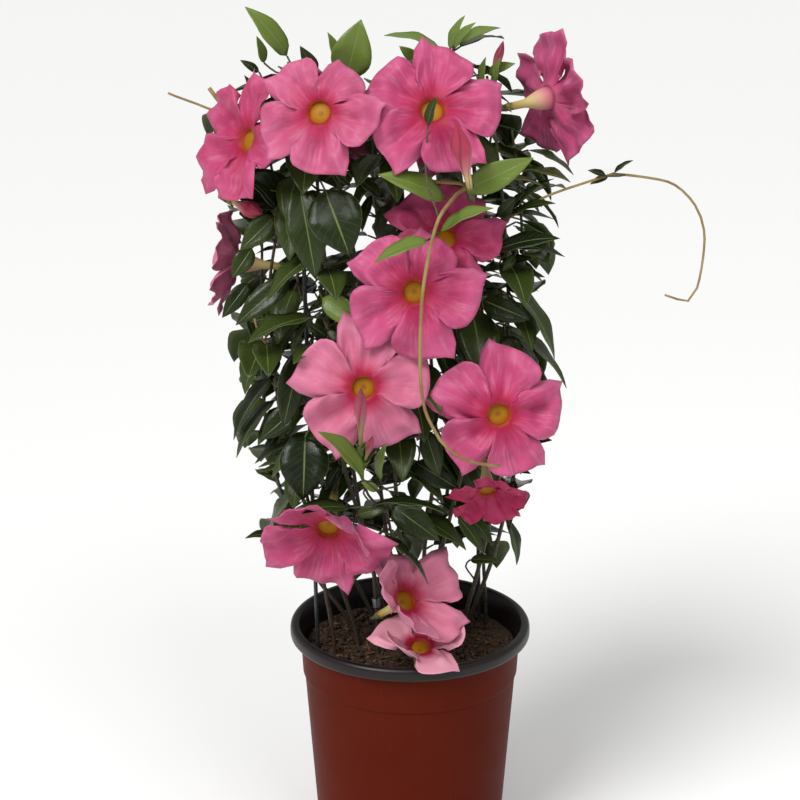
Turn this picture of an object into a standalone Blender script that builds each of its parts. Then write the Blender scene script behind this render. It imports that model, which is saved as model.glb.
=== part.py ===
# Potted mandevilla: a climbing plant in a turned plastic pot, tied up on one wire hoop.
# Units are metres, +Z is up and the origin is the centre of the pot's underside.
# Places of leaves and blooms are read off a photograph of 800 x 800 pixels, as column, row and a depth:
# photo_point turns them into places in space.
# What the photograph hides is filled by rules with a fixed seed.

import math
import random

import bmesh
import bpy
from mathutils import Matrix, Vector
from mathutils.bvhtree import BVHTree

# The camera that took the photograph
CAMERA_PLACE = Vector((-0.0105, -1.8, 1.04))
CAMERA_PITCH = math.radians(17)
FOCAL_PIXELS = 1867
PICTURE_MIDDLE = 400

# Pot and soil
RIM_RADIUS = 0.125
POT_HEIGHT = 0.250
RIM_HEIGHT = 0.0135
BASE_RADIUS = 0.0963
NECK_RADIUS = 0.1145
STEP_HEIGHT = 0.196
STEP_WIDTH = 0.0018
POT_WALL = 0.0022
FLOOR_HEIGHT = 0.003
DRAIN_RADIUS = 0.006
DRAIN_CIRCLE = 0.062
DRAINS = 4
POT_SIDES = 32
SOIL_TOP = 0.222
SOIL_RELIEF = 0.0016
GAP = 0.0003

# Wire hoop and the clip on one stem
HOOP_LEFT = Vector((-0.0962, -0.0105))
HOOP_RIGHT = Vector((0.0749, 0.0614))
HOOP_SHOULDER = 0.70
HOOP_TOP = 0.80
HOOP_LEAN = -0.010
WIRE_RADIUS = 0.0021
WIRE_FOOT = 0.120
CLIP_HEIGHT = 0.009
CLIP_WALL = 0.0016
CLIP_LEVEL = 0.282

# Stems
STEM_FOOT = 0.170
FOOT_RADIUS = 0.0024
TIP_RADIUS = 0.0012
STEM_SIDES = 5
STEM_STEP = 0.065
PETIOLE_RADIUS = 0.0011
STALK_RADIUS = 0.0013
TWINE_RADIUS = 0.0066
TWINE_CORNERS = 6
JOINT_STEP = 0.012
SHORT_STALK = 0.022
ROOT_LENGTH = 0.006

# Leaves
LEAF_THICKNESS = 0.0008
LEAF_RATIO = 0.46
LEAF_FOLD = 0.22
LEAF_ARCH = 0.07
LEAF_WAVE = 0.10
LARGE_LEAF = (0.14, 0.42, 0.76)
SMALL_LEAF = (0.22, 0.62)
CLEARANCE = 0.0006

# Blooms
BLOOM_RADIUS = 0.066
TUBE_LENGTH = 0.052
TUBE_RADIUS = 0.0030
MOUTH_RADIUS = 0.0105
PETAL_THICKNESS = 0.0010
PETALS = 5
CALYX_RADIUS = 0.0034
CALYX_LENGTH = 0.009

SEED = 11

# One petal's outline as degrees from its tip and share of the bloom's radius, from notch to notch
NOTCH = (-49, 0.42)
PETAL_EDGE = ((-50, 0.74), (-36, 0.90), (-16, 0.94), (0, 1.07), (14, 0.68))
PETAL_MIDDLE = ((-29, 0.50), (-2, 0.50))

# Left and right limit of the foliage at some rows of the photograph
SILHOUETTE = ((10, 246, 500), (60, 236, 575), (110, 205, 590), (180, 212, 575), (240, 214, 560),
              (300, 220, 540), (340, 226, 545), (400, 245, 555), (440, 232, 548), (490, 265, 525),
              (540, 262, 520), (600, 300, 500), (640, 320, 490))

# Main stems: the foot as x and y, then column, row and depth of each point that the stem passes
VINES = {
    "vine_front_left": ((-0.033, -0.030), ((372, 560, -0.03), (345, 470, -0.045), (330, 370, -0.05),
                        (326, 270, -0.05), (318, 190, -0.04), (312, 140, -0.01), (318, 78, 0.0))),
    "vine_front": ((0.000, -0.024), ((402, 560, -0.03), (395, 470, -0.045), (398, 360, -0.045),
                   (400, 260, -0.035), (392, 180, -0.03), (368, 110, 0.0), (348, 82, -0.005))),
    "vine_front_right": ((0.030, -0.028), ((440, 560, -0.035), (462, 470, -0.045), (470, 370, -0.045),
                         (470, 290, -0.01), (464, 205, 0.02), (455, 120, 0.01), (448, 58, 0.0))),
    "vine_right": ((0.052, -0.004), ((478, 570, -0.01), (500, 470, -0.012), (507, 360, -0.02),
                   (508, 290, -0.015), (504, 215, -0.01), (497, 150, 0.01), (487, 76, 0.01))),
    "vine_left": ((-0.055, -0.004), ((335, 570, 0.015), (296, 480, 0.015), (278, 400, 0.0),
                  (272, 330, -0.01), (270, 280, -0.01), (278, 215, -0.01), (270, 160, 0.0),
                  (263, 128, 0.0), (255, 92, 0.0))),
    "vine_inner_left": ((-0.022, 0.016), ((370, 560, 0.02), (352, 450, 0.015), (362, 340, 0.02),
                        (352, 240, 0.02), (330, 150, 0.025), (296, 70, 0.02))),
    "vine_inner_right": ((0.020, 0.018), ((424, 560, 0.02), (436, 450, 0.02), (430, 330, 0.02),
                         (440, 230, 0.02), (436, 150, 0.03), (430, 75, 0.03))),
    "vine_back_left": ((-0.038, 0.042), ((345, 560, 0.06), (318, 450, 0.085), (325, 340, 0.09),
                       (315, 240, 0.085), (300, 160, 0.07), (283, 90, 0.05))),
    "vine_back": ((0.000, 0.050), ((392, 560, 0.07), (378, 450, 0.095), (392, 340, 0.10),
                  (380, 240, 0.10), (372, 160, 0.085), (380, 80, 0.06))),
    "vine_back_right": ((0.040, 0.044), ((440, 560, 0.07), (452, 450, 0.10), (455, 340, 0.10),
                        (458, 240, 0.095), (462, 160, 0.08), (470, 90, 0.06))),
    "vine_far_left": ((-0.062, 0.028), ((312, 570, 0.04), (272, 460, 0.045), (262, 360, 0.05),
                      (262, 270, 0.05), (262, 200, 0.045))),
    "vine_far_right": ((0.062, 0.030), ((492, 560, 0.03), (516, 460, 0.045), (522, 370, 0.05),
                       (524, 290, 0.05), (520, 200, 0.045), (512, 130, 0.04))),
}

# Seedlings and sprigs that stand alone in the soil, written in the same way
SPRIGS = {
    "sprig_left": ((-0.0865, 0.0095), ((333, 620, 0.012), (328, 602, 0.012))),
    "sprig_front": ((-0.0685, 0.0095), ((350, 622, 0.004), (362, 611, 0.0))),
}

# Stems that wind round the two legs of the hoop: foot, leg, first and last height, turns, then free points
TWINERS = {
    "twiner_left": ((-0.078, -0.026), HOOP_LEFT, 0.33, 0.66, 3.0, ((298, 120, -0.02), (288, 62, -0.01))),
    "twiner_right": ((0.082, 0.052), HOOP_RIGHT, 0.33, 0.66, 3.0, ((492, 130, 0.05), (500, 98, 0.03))),
}

# Side shoots, each as points from its root, which is joined to the nearest stem, and its radius
SHOOTS = {
    "runner_right": (0.0011, ((507, 219, -0.02), (525, 208, -0.03), (545, 197, -0.035), (572, 187, -0.03),
                     (600, 178, -0.02), (612, 174, -0.01), (650, 178, 0.0), (675, 185, 0.01),
                     (695, 205, 0.01), (704, 230, 0.01), (703, 258, 0.0), (697, 288, -0.01),
                     (688, 301, -0.015), (665, 295, -0.02))),
    "runner_front": (0.0015, ((463, 184, -0.070), (456, 195, -0.105), (447, 206, -0.134),
                     (439, 218, -0.147), (432, 240, -0.153), (426, 270, -0.155), (422, 300, -0.158),
                     (420, 350, -0.155), (421, 385, -0.152), (425, 410, -0.150), (432, 426, -0.150),
                     (440, 440, -0.150), (455, 454, -0.150), (475, 463, -0.148), (500, 466, -0.140))),
    "twig_left": (0.0011, ((262, 128, 0.0), (232, 116, 0.01), (207, 108, 0.01), (197, 104, 0.01),
                  (175, 96, 0.01), (168, 93, 0.01))),
    "stub": (0.0020, ((262, 150, 0.02), (238, 124, 0.02), (222, 105, 0.02), (209, 88, 0.02))),
    "arc_left": (0.0011, ((268, 285, -0.03), (255, 300, -0.04), (253, 312, -0.045), (257, 328, -0.05),
                 (266, 344, -0.05), (279, 359, -0.05))),
    "shoot_top": (0.0011, ((448, 70, 0.0), (452, 52, 0.0), (458, 38, 0.0))),
    "shoot_low": (0.0013, ((402, 560, -0.04), (392, 535, -0.075), (385, 505, -0.105), (376, 488, -0.112))),
}

# Blooms: column, row and depth of the throat, where it faces as azimuth from the camera to the right
# and elevation, angle of its first petal tip, size, and how far the petals open from the axis, degrees
BLOOMS = {
    "bloom_top_left": (247, 140, -0.035, -54, 18, 20, 0.98, 70),
    "bloom_top": (319, 112, -0.080, -14, 20, 6, 0.93, 80),
    "bloom_top_middle": (432, 110, -0.075, 3, 30, 20, 1.05, 80),
    "bloom_top_right": (548, 98, 0.000, 124, 6, 30, 1.00, 70),
    "bloom_middle": (414, 292, -0.110, -3, 12, 10, 1.03, 84),
    "bloom_behind_middle": (445, 238, -0.062, 12, 42, 5, 0.90, 76),
    "bloom_left": (363, 388, -0.115, -3, 10, 30, 1.04, 88),
    "bloom_right": (499, 415, -0.115, 6, 8, 20, 1.02, 88),
    "bloom_young": (487, 492, -0.085, 2, -38, 30, 0.62, 58),
    "bloom_low_left": (328, 529, -0.095, -6, -22, -8, 1.06, 66),
    "bloom_low": (406, 600, -0.070, 44, 36, 26, 0.96, 64),
    "bloom_side_left": (238, 262, 0.010, -95, 5, 50, 0.80, 60),
    "bloom_back_top": (322, 122, 0.130, 172, 20, 15, 0.96, 82),
    "bloom_back_high": (425, 122, 0.140, 164, 14, 50, 0.98, 84),
    "bloom_back_middle": (413, 292, 0.150, 182, 10, 30, 1.02, 86),
    "bloom_back_left": (352, 392, 0.150, 205, 6, 60, 0.98, 84),
    "bloom_back_right": (494, 418, 0.130, 158, 4, 10, 0.96, 84),
}

# The fallen bloom that lies on the soil and over the rim, in the same form, with its shorter tube
FALLEN_BLOOM = (420, 640, -0.092, 10, 70, 17, 0.78, 84)
FALLEN_TUBE = 0.040

# Closed buds: column, row and depth of the tip, then of the base, and the bud's largest radius
BUDS = {
    "bud_top": ((455, 120, -0.116), (470, 188, -0.088), 0.0090),
    "bud_left": ((361, 386, -0.150), (361, 448, -0.125), 0.0058),
    "bud_low": ((373, 434, -0.135), (364, 462, -0.120), 0.0034),
    "bud_high": ((503, 40, 0.000), (489, 88, 0.010), 0.0042),
    "bud_right": ((517, 442, -0.060), (534, 432, -0.030), 0.0050),
    "bud_wilted": ((262, 214, -0.045), (228, 200, -0.030), 0.0080),
}

# Leaves: column and row of the tip, of the base, seen width in pixels, depth of the base and of the tip, mm
LEAVES = (
    (246, 6, 287, 56, 20, 0, -12), (300, 46, 316, 72, 14, -10, -25), (328, 32, 338, 64, 10, 5, 0),
    (361, 20, 346, 78, 40, -15, -30), (425, 60, 383, 92, 35, 15, 5), (399, 46, 420, 62, 12, 20, 15),
    (384, 35, 440, 48, 9, 0, -12), (464, 15, 450, 50, 8, 0, 0), (475, 22, 454, 48, 8, -5, -15),
    (500, 26, 457, 44, 9, 5, 10), (441, 50, 450, 62, 7, -5, -18), (472, 65, 447, 60, 12, -15, -30),
    (515, 63, 488, 73, 10, 5, -5), (485, 57, 482, 84, 7, 12, 8), (500, 57, 495, 84, 7, 0, -8),
    (455, 95, 478, 82, 14, -15, -25), (257, 36, 264, 63, 9, 0, -6), (240, 60, 259, 72, 8, 0, -6),
    (245, 75, 254, 96, 7, 0, -4), (257, 80, 257, 98, 7, -4, -8), (378, 174, 445, 199, 22, -90, -108),
    (533, 158, 467, 190, 28, -85, -105), (425, 157, 455, 172, 9, -70, -80),
    (328, 165, 350, 185, 10, -60, -70), (345, 170, 380, 198, 12, -50, -62),
    (350, 257, 325, 190, 55, -78, -100), (316, 280, 300, 190, 40, -62, -85),
    (240, 250, 275, 216, 25, -40, -55), (217, 180, 295, 195, 40, -15, -30),
    (244, 175, 275, 208, 10, -45, -55), (232, 278, 252, 248, 20, -35, -45),
    (222, 318, 248, 283, 18, -20, -30), (235, 325, 290, 280, 25, -55, -70),
    (272, 338, 262, 302, 12, -30, -38), (254, 347, 247, 312, 10, -10, -15),
    (250, 322, 290, 312, 18, -15, -25), (370, 328, 322, 298, 25, -72, -88),
    (318, 282, 342, 295, 10, -65, -72), (305, 322, 327, 337, 10, -80, -88),
    (342, 345, 328, 330, 8, -75, -82), (283, 428, 301, 350, 30, -65, -85),
    (262, 380, 280, 360, 10, -30, -40), (233, 440, 275, 375, 14, -30, -48),
    (235, 457, 275, 400, 12, -38, -55), (260, 440, 300, 405, 26, -50, -62),
    (265, 452, 278, 432, 10, -35, -42), (303, 500, 305, 437, 50, -82, -102),
    (325, 490, 340, 465, 14, -45, -55), (320, 430, 364, 480, 16, -118, -140),
    (361, 482, 378, 490, 9, -112, -118), (385, 443, 380, 480, 9, -118, -128),
    (285, 515, 350, 508, 14, -112, -132), (245, 537, 278, 535, 7, -50, -62),
    (390, 507, 357, 515, 13, -104, -112), (450, 512, 372, 505, 8, -112, -128),
    (370, 480, 418, 462, 26, -55, -65), (460, 490, 415, 462, 24, -60, -72),
    (440, 541, 392, 505, 30, -60, -75), (430, 583, 380, 535, 8, -96, -112),
    (483, 553, 458, 517, 14, -55, -65), (500, 561, 470, 560, 10, -20, -30),
    (518, 565, 507, 520, 10, -35, -45), (508, 530, 515, 480, 16, -45, -55),
    (552, 440, 525, 440, 10, -45, -55), (531, 473, 500, 465, 10, -85, -95),
    (557, 358, 508, 283, 12, -45, -65), (569, 386, 505, 326, 9, -35, -55),
    (541, 387, 520, 340, 6, -30, -40), (520, 368, 505, 336, 24, -40, -50),
    (530, 320, 483, 300, 28, -50, -65), (535, 291, 505, 285, 12, -30, -40),
    (560, 238, 497, 250, 16, -55, -70), (565, 255, 500, 247, 10, -38, -50),
    (533, 258, 503, 262, 10, -28, -35), (545, 276, 503, 275, 8, -18, -25),
    (502, 272, 515, 255, 9, -50, -56), (516, 198, 498, 216, 12, -35, -45),
    (527, 190, 507, 214, 6, -30, -40), (543, 183, 512, 210, 6, -30, -38),
    (553, 177, 517, 207, 5, -25, -30), (555, 202, 512, 214, 7, -30, -42),
    (362, 232, 372, 195, 10, -35, -42), (378, 245, 385, 205, 9, -25, -30),
    (383, 235, 395, 195, 9, -15, -20), (400, 220, 402, 185, 10, -10, -15),
    (390, 240, 440, 213, 12, -50, -60), (374, 262, 428, 240, 14, -130, -140),
    (492, 206, 440, 232, 10, -118, -135), (437, 96, 428, 126, 9, -110, -118),
    (402, 440, 435, 405, 30, -65, -80), (440, 478, 425, 430, 22, -70, -80),
    (588, 170, 606, 176, 6, -18, -22), (590, 184, 608, 176, 7, -20, -26),
    (633, 160, 614, 173, 4, -10, -10),
)

# Leaves that the rule adds to each stem, most of them at the back, where the photograph shows none
FILL = {
    "vine_front_left": 1, "vine_front": 1, "vine_front_right": 1, "vine_right": 1, "vine_left": 1,
    "vine_inner_left": 2, "vine_inner_right": 2, "vine_back_left": 11, "vine_back": 12,
    "vine_back_right": 11, "vine_far_left": 8, "vine_far_right": 8,
}

# Petals folded back, or forward where below 0: petal number and the way of its tip as a radius share
FOLDED = {
    "bloom_middle": {1: 0.34}, "bloom_behind_middle": {3: 0.30}, "bloom_top_right": {2: 0.25},
    "bloom_low": {1: 0.40, 2: -0.45, 3: -0.60}, "bloom_top": {1: 0.45}, "bloom_top_left": {0: 0.25},
    "bloom_low_left": {1: -0.60, 2: -0.25}, "bloom_fallen": {0: -0.30, 1: -0.30, 3: -0.70},
}


def clear_scene():
    for item in list(bpy.data.objects):
        bpy.data.objects.remove(item, do_unlink=True)


def photo_point(column, row, depth):
    across = (column - PICTURE_MIDDLE) / FOCAL_PIXELS
    rise = (PICTURE_MIDDLE - row) / FOCAL_PIXELS
    ray = Vector((across,
                  math.cos(CAMERA_PITCH) + rise * math.sin(CAMERA_PITCH),
                  rise * math.cos(CAMERA_PITCH) - math.sin(CAMERA_PITCH)))
    return CAMERA_PLACE + ray * ((depth - CAMERA_PLACE.y) / ray.y)


def photo_place(point):
    seen = point - CAMERA_PLACE
    ahead = seen.y * math.cos(CAMERA_PITCH) - seen.z * math.sin(CAMERA_PITCH)
    rise = seen.y * math.sin(CAMERA_PITCH) + seen.z * math.cos(CAMERA_PITCH)
    return (PICTURE_MIDDLE + FOCAL_PIXELS * seen.x / ahead,
            PICTURE_MIDDLE - FOCAL_PIXELS * rise / ahead)


def smooth_path(points, step):
    # A curve through the points, sampled about every step
    path = [points[0]]
    for index in range(len(points) - 1):
        start, end = points[index], points[index + 1]
        before = points[index - 1] if index > 0 else start * 2 - end
        after = points[index + 2] if index + 2 < len(points) else end * 2 - start
        count = max(1, round((end - start).length / step))
        for part in range(1, count + 1):
            t = part / count
            path.append(0.5 * (2 * start + (end - before) * t
                               + (2 * before - 5 * start + 4 * end - after) * t ** 2
                               + (3 * start - before - 3 * end + after) * t ** 3))
    return path


def any_side(direction):
    helper = Vector((0, 0, 1)) if abs(direction.z) < 0.9 else Vector((1, 0, 0))
    return direction.cross(helper).normalized()


def tube(path, radii, sides):
    # A closed tube along the path, as a list of points and a list of faces
    points = []
    faces = []
    side = None
    for index, centre in enumerate(path):
        before = path[max(index - 1, 0)]
        after = path[min(index + 1, len(path) - 1)]
        along = (after - before).normalized()
        if side is None:
            side = any_side(along)
        side = (side - along * side.dot(along)).normalized()
        other = along.cross(side)
        for corner in range(sides):
            turn = math.tau * corner / sides
            points.append(centre + (side * math.cos(turn) + other * math.sin(turn)) * radii[index])
    for ring in range(len(path) - 1):
        low = ring * sides
        for corner in range(sides):
            following = (corner + 1) % sides
            faces.append((low + corner, low + following, low + sides + following, low + sides + corner))
    faces.append(tuple(reversed(range(sides))))
    faces.append(tuple(range((len(path) - 1) * sides, len(path) * sides)))
    return points, faces


def sheet_solid(points, triangles, thickness, spare=0.0):
    # Thickens an open sheet: the lower face is the upper one moved back along each point's normal
    normals = [Vector((0, 0, 0)) for _ in points]
    edges = {}
    for triangle in triangles:
        a, b, c = (points[index] for index in triangle)
        normal = (b - a).cross(c - a)
        for index in triangle:
            normals[index] += normal
        for first, second in ((0, 1), (1, 2), (2, 0)):
            edges[(triangle[first], triangle[second])] = True
    upper = [point + normal.normalized() * spare for point, normal in zip(points, normals)]
    lower = [point - normal.normalized() * (thickness + spare) for point, normal in zip(points, normals)]
    count = len(points)
    faces = list(triangles)
    faces += [(a + count, c + count, b + count) for a, b, c in triangles]
    for first, second in edges:
        if (second, first) not in edges:
            faces.append((second, first, first + count))
            faces.append((second, first + count, second + count))
    return upper + lower, faces


def leaf_share(along):
    # Half width of a leaf along its length, as a share of the greatest
    return math.sin(math.pi * along ** 0.75) ** 0.8


def leaf_sheet(base, tip, normal, width, arch, wave, stations):
    # The blade's upper face, as rows of three points from edge to midrib to edge, then the tip
    axis = tip - base
    length = axis.length
    axis = axis.normalized()
    normal = (normal - axis * normal.dot(axis)).normalized()
    side = axis.cross(normal)
    rows = []
    for number, along in enumerate(stations):
        half = width / 2 * leaf_share(along)
        middle = base + axis * length * along + normal * (arch * length * 4 * along * (1 - along))
        ripple = wave * half * (1 if number % 2 else -1)
        rows.append((middle + side * half + normal * (LEAF_FOLD * half + ripple), middle,
                     middle - side * half + normal * (LEAF_FOLD * half - ripple)))
    return rows, side, normal


def leaf_solid(path, tip, leaf, thickness, spare=0.0):
    # A three-sided petiole along the path that opens into the blade, as one closed solid
    rows, side, normal = leaf_sheet(path[-1], tip, *leaf)
    radius = PETIOLE_RADIUS + spare
    rings = []
    across = side
    ways = [(after - before).normalized() for before, after in zip(path, path[1:])]
    ways.append((tip - path[-1]).normalized())
    for index in range(len(path) - 1, -1, -1):
        along = (ways[index] + ways[max(index - 1, 0)]).normalized()
        across = (across - along * across.dot(along)).normalized()
        upward = across.cross(along)
        centre = path[index]
        rings.insert(0, [centre + across * radius * 0.87 + upward * radius * 0.5,
                         centre - across * radius * 0.87 + upward * radius * 0.5,
                         centre - upward * radius])
    points = [point for ring in rings for point in ring]
    faces = [(0, 2, 1)]
    for ring in range(len(rings) - 1):
        low = 3 * ring
        for corner in range(3):
            after = (corner + 1) % 3
            faces.append((low + corner, low + after, low + 3 + after, low + 3 + corner))
    foot = 3 * (len(rings) - 1)
    first = len(points)
    for row in rows:
        points += [point + normal * spare for point in row]
        points += [point - normal * (thickness + spare) for point in reversed(row)]
    for corner in range(3):
        start, after = foot + corner, foot + (corner + 1) % 3
        near, middle, far = (first + (2 * corner + step) % 6 for step in range(3))
        faces += [(start, near, middle), (start, middle, after), (after, middle, far)]
    for number in range(len(rows) - 1):
        low = first + 6 * number
        for corner in range(6):
            near, near_after = low + corner, low + (corner + 1) % 6
            far, far_after = near + 6, near_after + 6
            if corner < 3:
                faces += [(near, near_after, far), (near_after, far_after, far)]
            else:
                faces += [(near, near_after, far_after), (near, far_after, far)]
    last = first + 6 * (len(rows) - 1)
    points.append(tip)
    for corner in range(6):
        faces.append((last + corner, last + (corner + 1) % 6, len(points) - 1))
    return points, faces


def facing(azimuth, elevation):
    azimuth = math.radians(azimuth)
    elevation = math.radians(elevation)
    return Vector((math.sin(azimuth) * math.cos(elevation),
                   -math.cos(azimuth) * math.cos(elevation),
                   math.sin(elevation)))


def bloom_frame(throat, ahead):
    across = Vector((0, 0, 1)).cross(ahead).normalized()
    above = ahead.cross(across)
    turned = Matrix((across, above, ahead)).transposed().to_4x4()
    return Matrix.Translation(throat) @ turned


def limb_height(radius, share, spread):
    # Height of the petals over the mouth: a cone that curls back towards the tips
    slope = 1 / math.tan(math.radians(spread))
    return (share * radius - MOUTH_RADIUS) * slope - 0.10 * radius * share ** 3


def bloom_sheet(name, radius, first_tip, spread, tube_length):
    # One sheet for tube, bell and five petals, seen from the front with its axis along +Z
    draw = random.Random(name)
    mouth = MOUTH_RADIUS * min(1.0, radius / 0.055)
    points = []

    def ring(count, offset, ring_radius, height):
        numbers = []
        for number in range(count):
            turn = math.radians(first_tip + offset + 360 * number / count)
            numbers.append(len(points))
            points.append(Vector((ring_radius * math.cos(turn), ring_radius * math.sin(turn), height)))
        return numbers

    base = ring(PETALS, NOTCH[0], TUBE_RADIUS, -tube_length)
    neck = ring(PETALS, NOTCH[0], TUBE_RADIUS * 1.2, -tube_length * 0.55)
    lip = ring(PETALS, NOTCH[0], mouth, 0)
    notches = ring(PETALS, NOTCH[0], radius * NOTCH[1], limb_height(radius, NOTCH[1], spread))
    triangles = []
    for number in range(PETALS):
        after = (number + 1) % PETALS
        triangles += [(base[number], neck[number], neck[after]), (base[number], neck[after], base[after]),
                      (neck[number], lip[number], lip[after]), (neck[number], lip[after], neck[after])]
        first, last = lip[number], lip[after]
        fold = FOLDED.get(name, {}).get(number, 0)
        grown = radius * draw.uniform(0.95, 1.04)
        sway = draw.uniform(-0.06, 0.06)
        start = len(points)
        for angle, share in PETAL_MIDDLE + PETAL_EDGE:
            turn = math.radians(first_tip + 72 * number + angle)
            reach = grown * share * (1 - 0.3 * abs(fold) * share)
            height = limb_height(radius, share, spread) + sway * radius * share ** 2
            height -= fold * radius * (share - NOTCH[1]) * 1.6
            height -= 0.05 * radius * math.sin(math.radians(angle * 3)) * share
            points.append(Vector((reach * math.cos(turn), reach * math.sin(turn), height)))
        inner, outer, heel, lobe, shoulder, point, flank = range(start, start + 7)
        notch, next_notch = notches[number], notches[after]
        triangles += [(first, notch, inner), (first, inner, outer), (first, outer, last),
                      (last, outer, next_notch),
                      (notch, heel, inner), (heel, lobe, inner), (lobe, shoulder, inner),
                      (inner, shoulder, outer), (shoulder, point, outer), (point, flank, outer),
                      (flank, next_notch, outer)]
    return points, triangles


def bud_solid(tip, base, radius):
    # A spindle that narrows to its base and twists to a point
    axis = tip - base
    profile = ((0.0, 0.34), (0.30, 0.42), (0.55, 0.95), (0.70, 1.0), (0.88, 0.62), (1.0, 0.08))
    path = [base + axis * along for along, _ in profile]
    return tube(path, [radius * share for _, share in profile], 6)


class Plant:
    # Keeps every placed piece under the node that owns it, with a search tree for clearance tests

    def __init__(self):
        self.nodes = {}
        self.obstacles = []
        self.joints = []
        self.paths = {}

    def clear(self, points, faces, ignore):
        tree = BVHTree.FromPolygons(points, faces)
        low = [min(point[axis] for point in points) for axis in range(3)]
        high = [max(point[axis] for point in points) for axis in range(3)]
        for owner, kind, other, other_low, other_high in self.obstacles:
            if owner == ignore or (owner, kind) == ignore:
                continue
            if any(low[axis] > other_high[axis] or high[axis] < other_low[axis] for axis in range(3)):
                continue
            if tree.overlap(other):
                return False
        return True

    def add(self, owner, kind, points, faces):
        self.nodes.setdefault(owner, []).append((points, faces))
        low = [min(point[axis] for point in points) for axis in range(3)]
        high = [max(point[axis] for point in points) for axis in range(3)]
        self.obstacles.append((owner, kind, BVHTree.FromPolygons(points, faces), low, high))

    def add_joints(self, owner, path):
        # Places along a stem where a petiole or a shoot may start
        for start, end in zip(path, path[1:]):
            count = max(1, round((end - start).length / JOINT_STEP))
            for part in range(count):
                place = start.lerp(end, part / count)
                if place.z > SOIL_TOP + 0.012:
                    self.joints.append((owner, place, (end - start).normalized()))

    def nearest_joints(self, target, limit):
        near = [joint for joint in self.joints if (joint[1] - target).length < limit]
        return sorted(near, key=lambda joint: (joint[1] - target).length)


def taper(path, first, last):
    count = len(path) - 1
    return [first + (last - first) * number / count for number in range(count + 1)]


def bends_gently(path, arrival, stem_way):
    # A stalk leaves its stem at an angle and has no sharp turn
    ways = [(after - before).normalized() for before, after in zip(path, path[1:])] + [arrival]
    return abs(ways[0].dot(stem_way)) < 0.88 and all(a.dot(b) > 0.2 for a, b in zip(ways, ways[1:]))


def stalk_clear(plant, path, owner):
    # Past its root a stalk crosses nothing, and its root crosses nothing but its own node
    spare = PETIOLE_RADIUS + CLEARANCE
    if not plant.clear(*tube(path, [spare] * len(path), 6), owner):
        return False
    reach = (path[1] - path[0]).length
    if reach < ROOT_LENGTH + 0.002:
        return len(path) == 2
    free = [path[0].lerp(path[1], ROOT_LENGTH / reach)] + path[1:]
    return plant.clear(*tube(free, [spare] * len(free), 6), None)


def place_stem(plant, name, make_path, first, last, draw):
    for attempt in range(40):
        reach = 0.0012 * attempt
        shift = Vector([draw.uniform(-reach, reach) for _ in range(3)])
        path = make_path(shift)
        radii = taper(path, first, last)
        if plant.clear(*tube(path, [radius + CLEARANCE for radius in radii], STEM_SIDES), name):
            break
    else:
        print("stem that could not be cleared:", name)
        return
    plant.add(name, "stem", *tube(path, radii, STEM_SIDES))
    plant.add_joints(name, path)
    plant.paths[name] = path


def grow_vines(plant, draw):
    for stems, thickness in ((VINES, 1.0), (SPRIGS, 0.55)):
        for name, ((foot_x, foot_y), rise) in stems.items():
            def vine_path(shift):
                foot = Vector((foot_x, foot_y, STEM_FOOT))
                ground = Vector((foot_x, foot_y, SOIL_TOP + 0.006))
                marks = [photo_point(*place) + shift for place in rise]
                return [foot] + smooth_path([ground] + marks, STEM_STEP)
            place_stem(plant, name, vine_path, FOOT_RADIUS * thickness, TIP_RADIUS, draw)


def leg_place(leg, height):
    lean = HOOP_LEAN * (height - SOIL_TOP) / (HOOP_SHOULDER - SOIL_TOP)
    return Vector((leg.x + lean, leg.y, height))


def grow_twiners(plant, draw):
    for name, ((foot_x, foot_y), leg, low, high, turns, free) in TWINERS.items():
        def twined_path(shift):
            foot = Vector((foot_x, foot_y, STEM_FOOT))
            ground = Vector((foot_x, foot_y, SOIL_TOP + 0.006))
            toward = math.atan2(foot_y - leg.y, foot_x - leg.x)
            winding = []
            count = round(turns * TWINE_CORNERS)
            for number in range(count + 1):
                turn = toward + math.tau * number / TWINE_CORNERS
                centre = leg_place(leg, low + (high - low) * number / count)
                winding.append(centre + Vector((math.cos(turn), math.sin(turn), 0)) * TWINE_RADIUS)
            marks = [photo_point(*place) + shift for place in free]
            approach = smooth_path([ground, winding[0]], STEM_STEP)
            return [foot] + approach + winding[1:] + smooth_path([winding[-1]] + marks, STEM_STEP)[1:]
        place_stem(plant, name, twined_path, FOOT_RADIUS * 0.8, TIP_RADIUS, draw)


def grow_shoots(plant, draw):
    for name, (radius, places) in SHOOTS.items():
        placed = False
        for attempt in range(12):
            shift = Vector((0, draw.uniform(-1, 1) * 0.0015 * attempt, 0))
            marks = [photo_point(*place) + shift for place in places]
            for owner, start, _ in plant.nearest_joints(marks[0], 0.10)[:12]:
                path = smooth_path([start] + marks, STEM_STEP * 0.8)
                if plant.clear(*tube(path, [radius + CLEARANCE] * len(path), 4), owner):
                    plant.add(owner, "stem", *tube(path, taper(path, radius * 1.2, radius), 4))
                    plant.add_joints(owner, path[1:])
                    placed = True
                    break
            if placed:
                break
        if not placed:
            print("shoot that could not be placed:", name)


def stalk_path(start, end, arrival):
    # From a stem to a leaf or a bloom, leaving upwards and arriving along the given direction
    reach = (end - start).length
    if reach < SHORT_STALK:
        return [start, end]
    bend = end - arrival * reach * 0.4
    return [start, start.lerp(bend, 0.6) + Vector((0, 0, 0.06 * reach)), end]


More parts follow.
